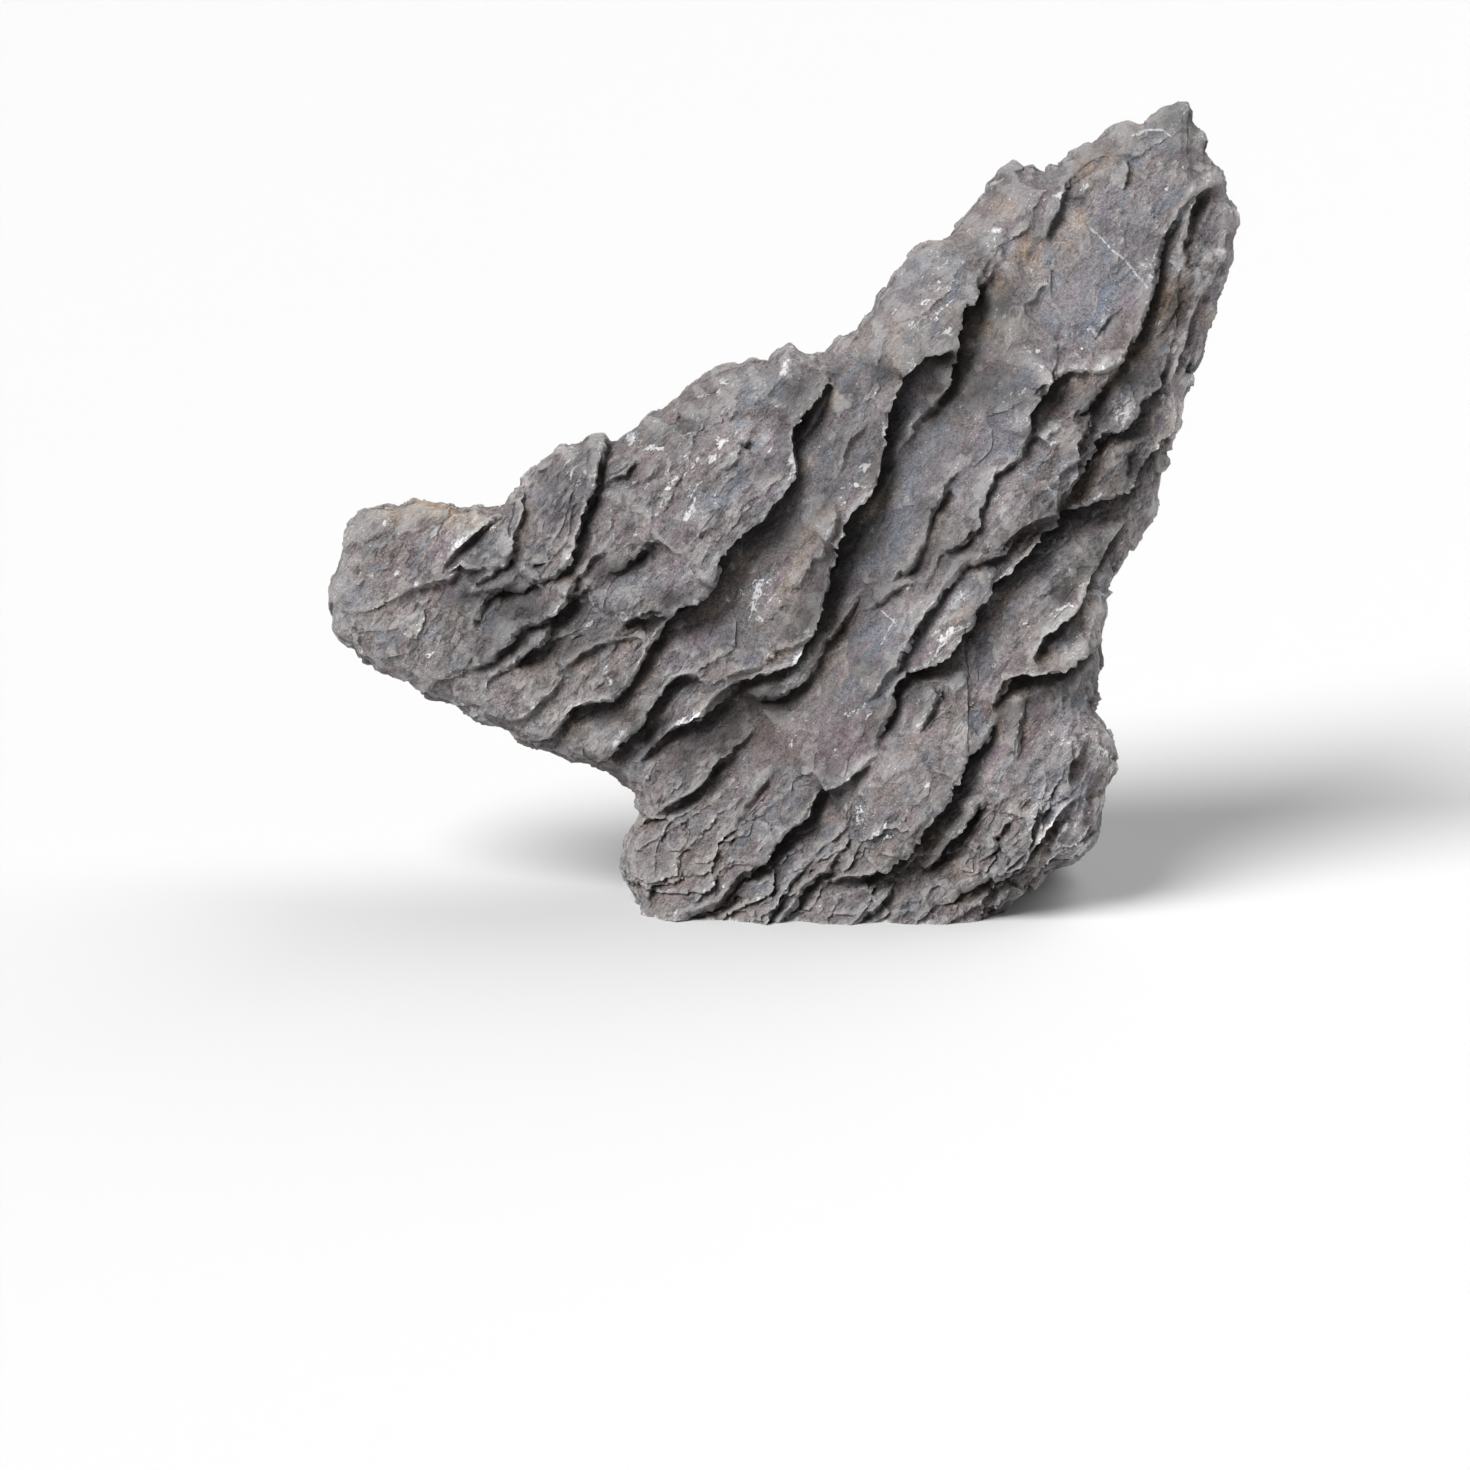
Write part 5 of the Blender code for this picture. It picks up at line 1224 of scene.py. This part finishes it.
def rock_material(colours):
    """Bedded grey limestone with stains, flecks, veins and cracks, and with painted light and shade."""
    board = Board("dragon_stone_limestone", roughness=0.86)
    place = drawing_place(board)
    lip_turn = math.atan2(RUN[1], RUN[0])
    beds = board.turned(place, rotation=(0.0, 0.0, -lip_turn))
    streaks = board.turned(beds, scale=(1.0, 0.45, 1.0))
    laminae = board.turned(beds, scale=(0.16, 0.07, 1.0))

    # Noise of several sizes, thin sheets and small broken faces.
    broad = board.cloud(streaks, 24.0, detail=4.0, distortion=0.8)
    tint = board.cloud(streaks, 8.0, detail=5.0, roughness=0.6, distortion=1.2)
    mottle = board.cloud(streaks, 4.5, detail=6.0, roughness=0.7, distortion=0.5)
    speckle = board.cloud(place, 1.5, detail=4.0, roughness=0.7)
    grit = board.cloud(place, 0.6, detail=2.0, roughness=0.7)
    layers = board.cloud(laminae, 0.9, detail=3.0, roughness=0.6)
    broken = board.drifted(streaks, 2.0, 3.0, detail=3.0)
    chips, chip_tone = board.facets(broken, 5.0)
    crumbs, crumb_tone = board.facets(broken, 1.9)
    sheets, sheet_foot_shade = board.sheets(beds, 9.0, place, 14.0)
    leaves, leaf_foot_shade = board.sheets(beds, 4.3, place, 8.0)

    # What the mesh says of each point.
    wear = board.mask("wear")
    depth = board.node("ShaderNodeSeparateXYZ", {}, {0: place}, output=2)
    on_face = board.step(depth, 0.0, 6.0)
    shelter = board.mask("shelter")
    fine = board.mask("fine_relief")
    broad_relief = board.mask("broad_relief")

    # Plain rock and its stains, the brown one partly painted shade.
    colour = board.mix(board.step(broad, 0.30, 0.64), (*colours.cool, 1.0), (*colours.warm, 1.0))
    plum = board.step(tint, 0.44, 0.72) * 0.85 + board.mask("plum") * 0.7
    colour = board.stained(colour, plum, colours.plum, most=0.9)
    blue = (1.0 - board.step(tint, 0.30, 0.54)) * 0.75 + board.mask("blue") * 0.7
    colour = board.stained(colour, blue, colours.blue, most=0.9)
    # Brown clay stains, partly painted shade.
    colour = board.stained(colour, board.mask("brown") * board.step(mottle, 0.25, 0.55), colours.brown)
    near_lips = board.step(shelter, 0.03, 0.20) * 0.45 + board.step(fine, 0.05, 0.30) * 0.25
    hollows = board.step(board.cloud(streaks, 11.0, detail=4.0, distortion=0.6), 0.46, 0.66) * near_lips
    tan_share = board.mask("tan") * board.step(mottle, 0.30, 0.58) + hollows
    colour = board.stained(colour, tan_share, colours.tan, most=0.85)
    rust_share = board.mask("rust") * board.step(speckle, 0.40, 0.60)
    colour = board.stained(colour, rust_share * 0.75, colours.rust)

    # Grain, painted shade where nearby rock hides the sky and at the foot of each thin sheet, dark
    # blotches that are partly painted shade, and dust and painted highlight on what stands out.
    brightness = 1.0 + (mottle - 0.5) * 0.5 + (speckle - 0.5) * 1.3
    brightness = brightness + (grit - 0.5) * 2.0 + (layers - 0.5) * 0.35
    # Painted shade where nearby rock hides the sky, most of all towards the key light.
    brightness = brightness - board.step(shelter, 0.02, 0.26) * 0.22
    # Painted shade at the foot of each thin sheet's step.
    brightness = brightness - wear * (sheet_foot_shade * 0.35 + leaf_foot_shade * 0.22)
    brightness = brightness + wear * ((chip_tone - 0.5) * 0.10 + (crumb_tone - 0.5) * 0.28)
    colour = board.scaled(colour, brightness)
    # Dark blotches, partly painted shade.
    blotch_and_shade_share = board.mask("dark") * board.step(speckle, 0.26, 0.48)
    colour = board.stained(colour, board.maths("MINIMUM", blotch_and_shade_share, 1.0) * 0.72, colours.dark)
    # Pale dust and wear on what stands out, partly a painted highlight on crests and bulges.
    dust_and_highlight = board.step(fine + (speckle - 0.5) * 0.60, 0.08, 0.50)
    colour = board.stained(colour, dust_and_highlight * 0.5, colours.pale)
    colour = board.stained(colour, board.step(broad_relief, 0.1, 1.5) * 0.15, colours.pale)

    # White flecks and finer sparks, then the patches of painted light and painted shade.
    fleck_cloud = board.cloud(streaks, 2.4, detail=5.0, roughness=0.75, distortion=0.3)
    bunches = board.cloud(place, 16.0, detail=2.0)
    fleck_level = fleck_cloud + board.mask("fleck") * 0.12 + (bunches - 0.5) * 0.2 + fine * 0.08
    fleck_level = fleck_level + (crumb_tone - 0.5) * 0.10 + (speckle - 0.5) * 0.24 + (grit - 0.5) * 0.18
    fleck_level = fleck_level + (1.0 - on_face) * 0.04
    flecks = board.step(fleck_level, 0.672, 0.715)
    sparks = board.cloud(streaks, 0.9, detail=3.0, roughness=0.8) + (bunches - 0.5) * 0.25 + fine * 0.10
    sparks = board.step(sparks + board.mask("fleck") * 0.05, 0.655, 0.700)
    flecks = board.maths("MAXIMUM", flecks, sparks * 0.7)
    colour = board.stained(colour, flecks * 0.85, colours.calcite)
    # Painted light and painted shade, laid on in patches.
    painted_light_and_shade = 1.0 + (board.mask("painted_light") - board.mask("painted_shade")) * 0.40
    colour = board.scaled(colour, board.maths("MAXIMUM", painted_light_and_shade, 0.15))

    # Veins, cracks, and painted shade where nearby rock hides the sky.
    veined = board.drifted(place, 4.0, 2.2)
    vein = board.lines(veined, VEINS) * on_face * board.step(speckle, 0.36, 0.56)
    crack = board.lines(veined, CRACKS) * on_face * board.step(mottle, 0.25, 0.50)
    colour = board.stained(colour, vein * 0.75, colours.calcite)
    shade_and_crack_darkening = board.maths("MAXIMUM", board.step(shelter, 0.09, 0.52), crack * 0.75)
    colour = board.stained(colour, shade_and_crack_darkening * colours.shade_and_crack_darkening, colours.shade_and_crack_colour)
    board.plug(board.shader.inputs["Base Color"], colour)

    roughness = 0.88 - flecks * 0.22 - vein * 0.2 + (mottle - 0.5) * 0.12
    board.plug(board.shader.inputs["Roughness"], roughness)
    board.shader.inputs["Specular IOR Level"].default_value = 0.38

    height = mottle * 0.7 + speckle * 0.8 + grit * 0.45 + layers * 0.4 + flecks * 0.2 - crack * 0.5
    height = height + wear * (sheets + leaves)
    height = height + wear * (chips * 0.5 + crumbs * 0.8)
    board.bump(height, 1.0, MM)
    return board.material


def floor_material(colour):
    """Pale matt paint, very slightly clouded."""
    board = Board("studio_floor_paint", roughness=0.75)
    place = board.node("ShaderNodeTexCoord", output=3)
    cloud = board.cloud(place, 0.6, detail=2.0)
    clouded = board.mix(cloud * 0.04, (*colour, 1.0), shade(colour, 0.9))
    board.plug(board.shader.inputs["Base Color"], clouded)
    board.shader.inputs["Specular IOR Level"].default_value = 0.2
    return board.material


def paint(name, description, default):
    """A colour that can be set in the sidebar."""
    return FloatVectorProperty(
        name=name, description=description, subtype="COLOR", default=default, min=0.0, max=1.0,
    )


class StoneShape(bpy.types.PropertyGroup):
    grain: FloatProperty(
        name="Grain", description="Size of the mesh that the ledges are raised on",
        default=0.0007, min=0.0006, max=0.004, precision=5, unit="LENGTH",
    )
    ledge_depth: FloatProperty(
        name="Ledge Depth", description="How deep the ledges are, against their drawn drops",
        default=1.3, min=0.0, max=2.5, subtype="FACTOR",
    )
    weathering: FloatProperty(
        name="Weathering", description="How strongly the thin beds and lumps stand out",
        default=1.0, min=0.0, max=2.0, subtype="FACTOR",
    )


class StoneColours(bpy.types.PropertyGroup):
    cool: paint("Cool Grey", "Grey of the plain rock", (0.156, 0.151, 0.160))
    warm: paint("Warm Grey", "Grey of the brownish rock", (0.186, 0.162, 0.148))
    plum: paint("Plum", "Purplish patches of the face", (0.152, 0.120, 0.138))
    blue: paint("Blue Grey", "Bluish patches of the face", (0.130, 0.143, 0.172))
    tan: paint("Tan", "Clay stains near the lips", (0.300, 0.228, 0.165))
    # The brown is partly clay and partly painted shade.
    brown: paint("Brown", "Clay left in the recesses of the flank", (0.110, 0.088, 0.076))
    rust: paint("Rust", "Small iron stains", (0.190, 0.095, 0.060))
    # The dark blotches are partly painted shade.
    dark: paint("Dark Blotch", "Round dark blotches", (0.052, 0.052, 0.058))
    # Pale dust and wear, also a painted highlight on crests.
    pale: paint("Worn Edge", "Dust and wear on what stands out", (0.330, 0.320, 0.318))
    calcite: paint("Calcite", "White flecks and veins", (0.600, 0.595, 0.605))
    # Painted shade under the ledges, which is also the colour of the cracks.
    shade_and_crack_colour: paint("Crevice", "Dirt under the ledges", (0.026, 0.022, 0.020))
    # How far the painted shade and the cracks darken the rock.
    shade_and_crack_darkening: FloatProperty(
        name="Grime", description="How dark the sheltered rock is", subtype="FACTOR",
        default=0.9, min=0.0, max=1.0,
    )


class StudioSettings(bpy.types.PropertyGroup):
    floor_colour: paint("Floor", "Colour of the floor", (0.54, 0.54, 0.54))
    key_strength: FloatProperty(
        name="Key Light", description="Strength of the soft light from the upper left",
        default=5.3, min=0.0,
    )
    back_strength: FloatProperty(
        name="Back Light", description="Strength of the soft light from behind on the right",
        default=2.6, min=0.0,
    )
    fill_power: FloatProperty(
        name="Fill Light", description="Power of the wide light at the right", unit="POWER",
        default=3.4, min=0.0,
    )
    sky: FloatProperty(
        name="Sky", description="Strength of the even white surroundings", default=0.07, min=0.0,
    )
    camera_distance: FloatProperty(
        name="Camera Distance", description="From the camera to the stone's face", unit="LENGTH",
        default=2.2, min=0.5,
    )


class DRAGONSTONE_OT_stone(bpy.types.Operator):
    """Build the stone in place of its plain solid"""

    bl_idname = "dragonstone.stone"
    bl_label = "Build Stone"

    def execute(self, context):
        mesh = stone_mesh(context.scene.dragonstone_shape)
        mesh.name = STONE
        paint_masks(mesh, lie_down(point_array(mesh.vertices, "co")))
        mesh.materials.clear()
        mesh.materials.append(rock_material(context.scene.dragonstone_colours))
        rock = bpy.data.objects.new(STONE, mesh)
        context.scene.collection.objects.link(rock)
        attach(rock, "root")
        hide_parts(NODE)
        return {"FINISHED"}


class DRAGONSTONE_OT_studio(bpy.types.Operator):
    """Build the floor, the lights and the camera"""

    bl_idname = "dragonstone.studio"
    bl_label = "Build Studio"

    def execute(self, context):
        settings = context.scene.dragonstone_studio
        build_floor(context.scene, settings)
        aim = drawing_point(*AIM)
        build_sun(context.scene, aim, "key_light", KEY_WAY, KEY_ANGLE_DEG, settings.key_strength)
        build_sun(context.scene, aim, "back_light", BACK_WAY, BACK_ANGLE_DEG, settings.back_strength)
        build_fill(context.scene, aim, settings.fill_power)
        build_sky(context.scene, settings.sky)
        build_camera(context.scene, aim, settings.camera_distance)
        context.scene.view_settings.view_transform = "Standard"
        return {"FINISHED"}


class DRAGONSTONE_PT_sidebar(bpy.types.Panel):
    """The stone's sizes, colours and studio in the sidebar"""

    bl_label = "Dragon Stone"
    bl_idname = "DRAGONSTONE_PT_sidebar"
    bl_space_type = "VIEW_3D"
    bl_region_type = "UI"
    bl_category = "Dragon Stone"

    def draw(self, context):
        for name, operator in (
            ("dragonstone_shape", DRAGONSTONE_OT_stone),
            ("dragonstone_colours", None),
            ("dragonstone_studio", DRAGONSTONE_OT_studio),
        ):
            box = self.layout.box()
            group = getattr(context.scene, name)
            for key in group.bl_rna.properties.keys():
                if key not in ("rna_type", "name"):
                    box.prop(group, key)
            if operator:
                box.operator(operator.bl_idname)


def drawing_point(u, v, w):
    """Where a point of the drawing is in the scene."""
    return Vector(stand_up(np.array([[u, v, w]], float))[0])


def build_floor(scene, settings):
    """A wide round floor under the stone."""
    bm = bmesh.new()
    bmesh.ops.create_circle(bm, cap_ends=True, radius=FLOOR_RADIUS, segments=FLOOR_SIDES)
    mesh = bpy.data.meshes.new("studio_floor")
    bm.to_mesh(mesh)
    bm.free()
    mesh.materials.append(floor_material(settings.floor_colour))
    floor = bpy.data.objects.new("studio_floor", mesh)
    scene.collection.objects.link(floor)


def build_sun(scene, aim, name, way, angle, strength):
    """A wide soft light from far off, so that the floor is lit evenly."""
    lamp = bpy.data.lights.new(name, "SUN")
    lamp.angle = math.radians(angle)
    lamp.energy = strength
    place_light(scene, lamp, aim, way)


def build_fill(scene, aim, power):
    """A large weak light at the right."""
    lamp = bpy.data.lights.new("fill_light", "AREA")
    lamp.size = FILL_SIZE
    lamp.energy = power
    place_light(scene, lamp, aim, FILL_WAY)


def place_light(scene, lamp, aim, way):
    """Stands a light at way, in metres, from aim and turns it to look there."""
    light = bpy.data.objects.new(lamp.name, lamp)
    light.location = aim + Vector(way)
    light.rotation_euler = (-Vector(way)).to_track_quat("-Z", "Y").to_euler()
    scene.collection.objects.link(light)


def build_sky(scene, strength):
    """Even white light from all round."""
    world = bpy.data.worlds.new("studio_sky")
    world.use_nodes = True
    background = world.node_tree.nodes["Background"]
    background.inputs["Color"].default_value = (1.0, 1.0, 1.0, 1.0)
    background.inputs["Strength"].default_value = strength
    scene.world = world


def build_camera(scene, aim, distance):
    """A camera square on to the ledged face, so it looks down by as much as the face leans back."""
    lean = math.radians(LEAN_DEG)
    back = Vector((0.0, -math.cos(lean), math.sin(lean)))
    data = bpy.data.cameras.new("studio_camera")
    data.sensor_width = SENSOR_MM
    data.lens = SENSOR_MM * distance / FRAME_WIDTH
    camera = bpy.data.objects.new("studio_camera", data)
    camera.location = aim + back * distance
    camera.rotation_euler = (-back).to_track_quat("-Z", "Y").to_euler()
    scene.collection.objects.link(camera)
    scene.camera = camera


CLASSES = (
    StoneShape, StoneColours, StudioSettings,
    DRAGONSTONE_OT_stone, DRAGONSTONE_OT_studio, DRAGONSTONE_PT_sidebar,
)


def register():
    for cls in CLASSES:
        bpy.utils.register_class(cls)
    bpy.types.Scene.dragonstone_shape = PointerProperty(type=StoneShape)
    bpy.types.Scene.dragonstone_colours = PointerProperty(type=StoneColours)
    bpy.types.Scene.dragonstone_studio = PointerProperty(type=StudioSettings)


def unregister():
    del bpy.types.Scene.dragonstone_studio
    del bpy.types.Scene.dragonstone_colours
    del bpy.types.Scene.dragonstone_shape
    for cls in reversed(CLASSES):
        bpy.utils.unregister_class(cls)


def main():
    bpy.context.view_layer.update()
    register()
    bpy.ops.dragonstone.stone()
    bpy.ops.dragonstone.studio()


if __name__ == "__main__":
    main()
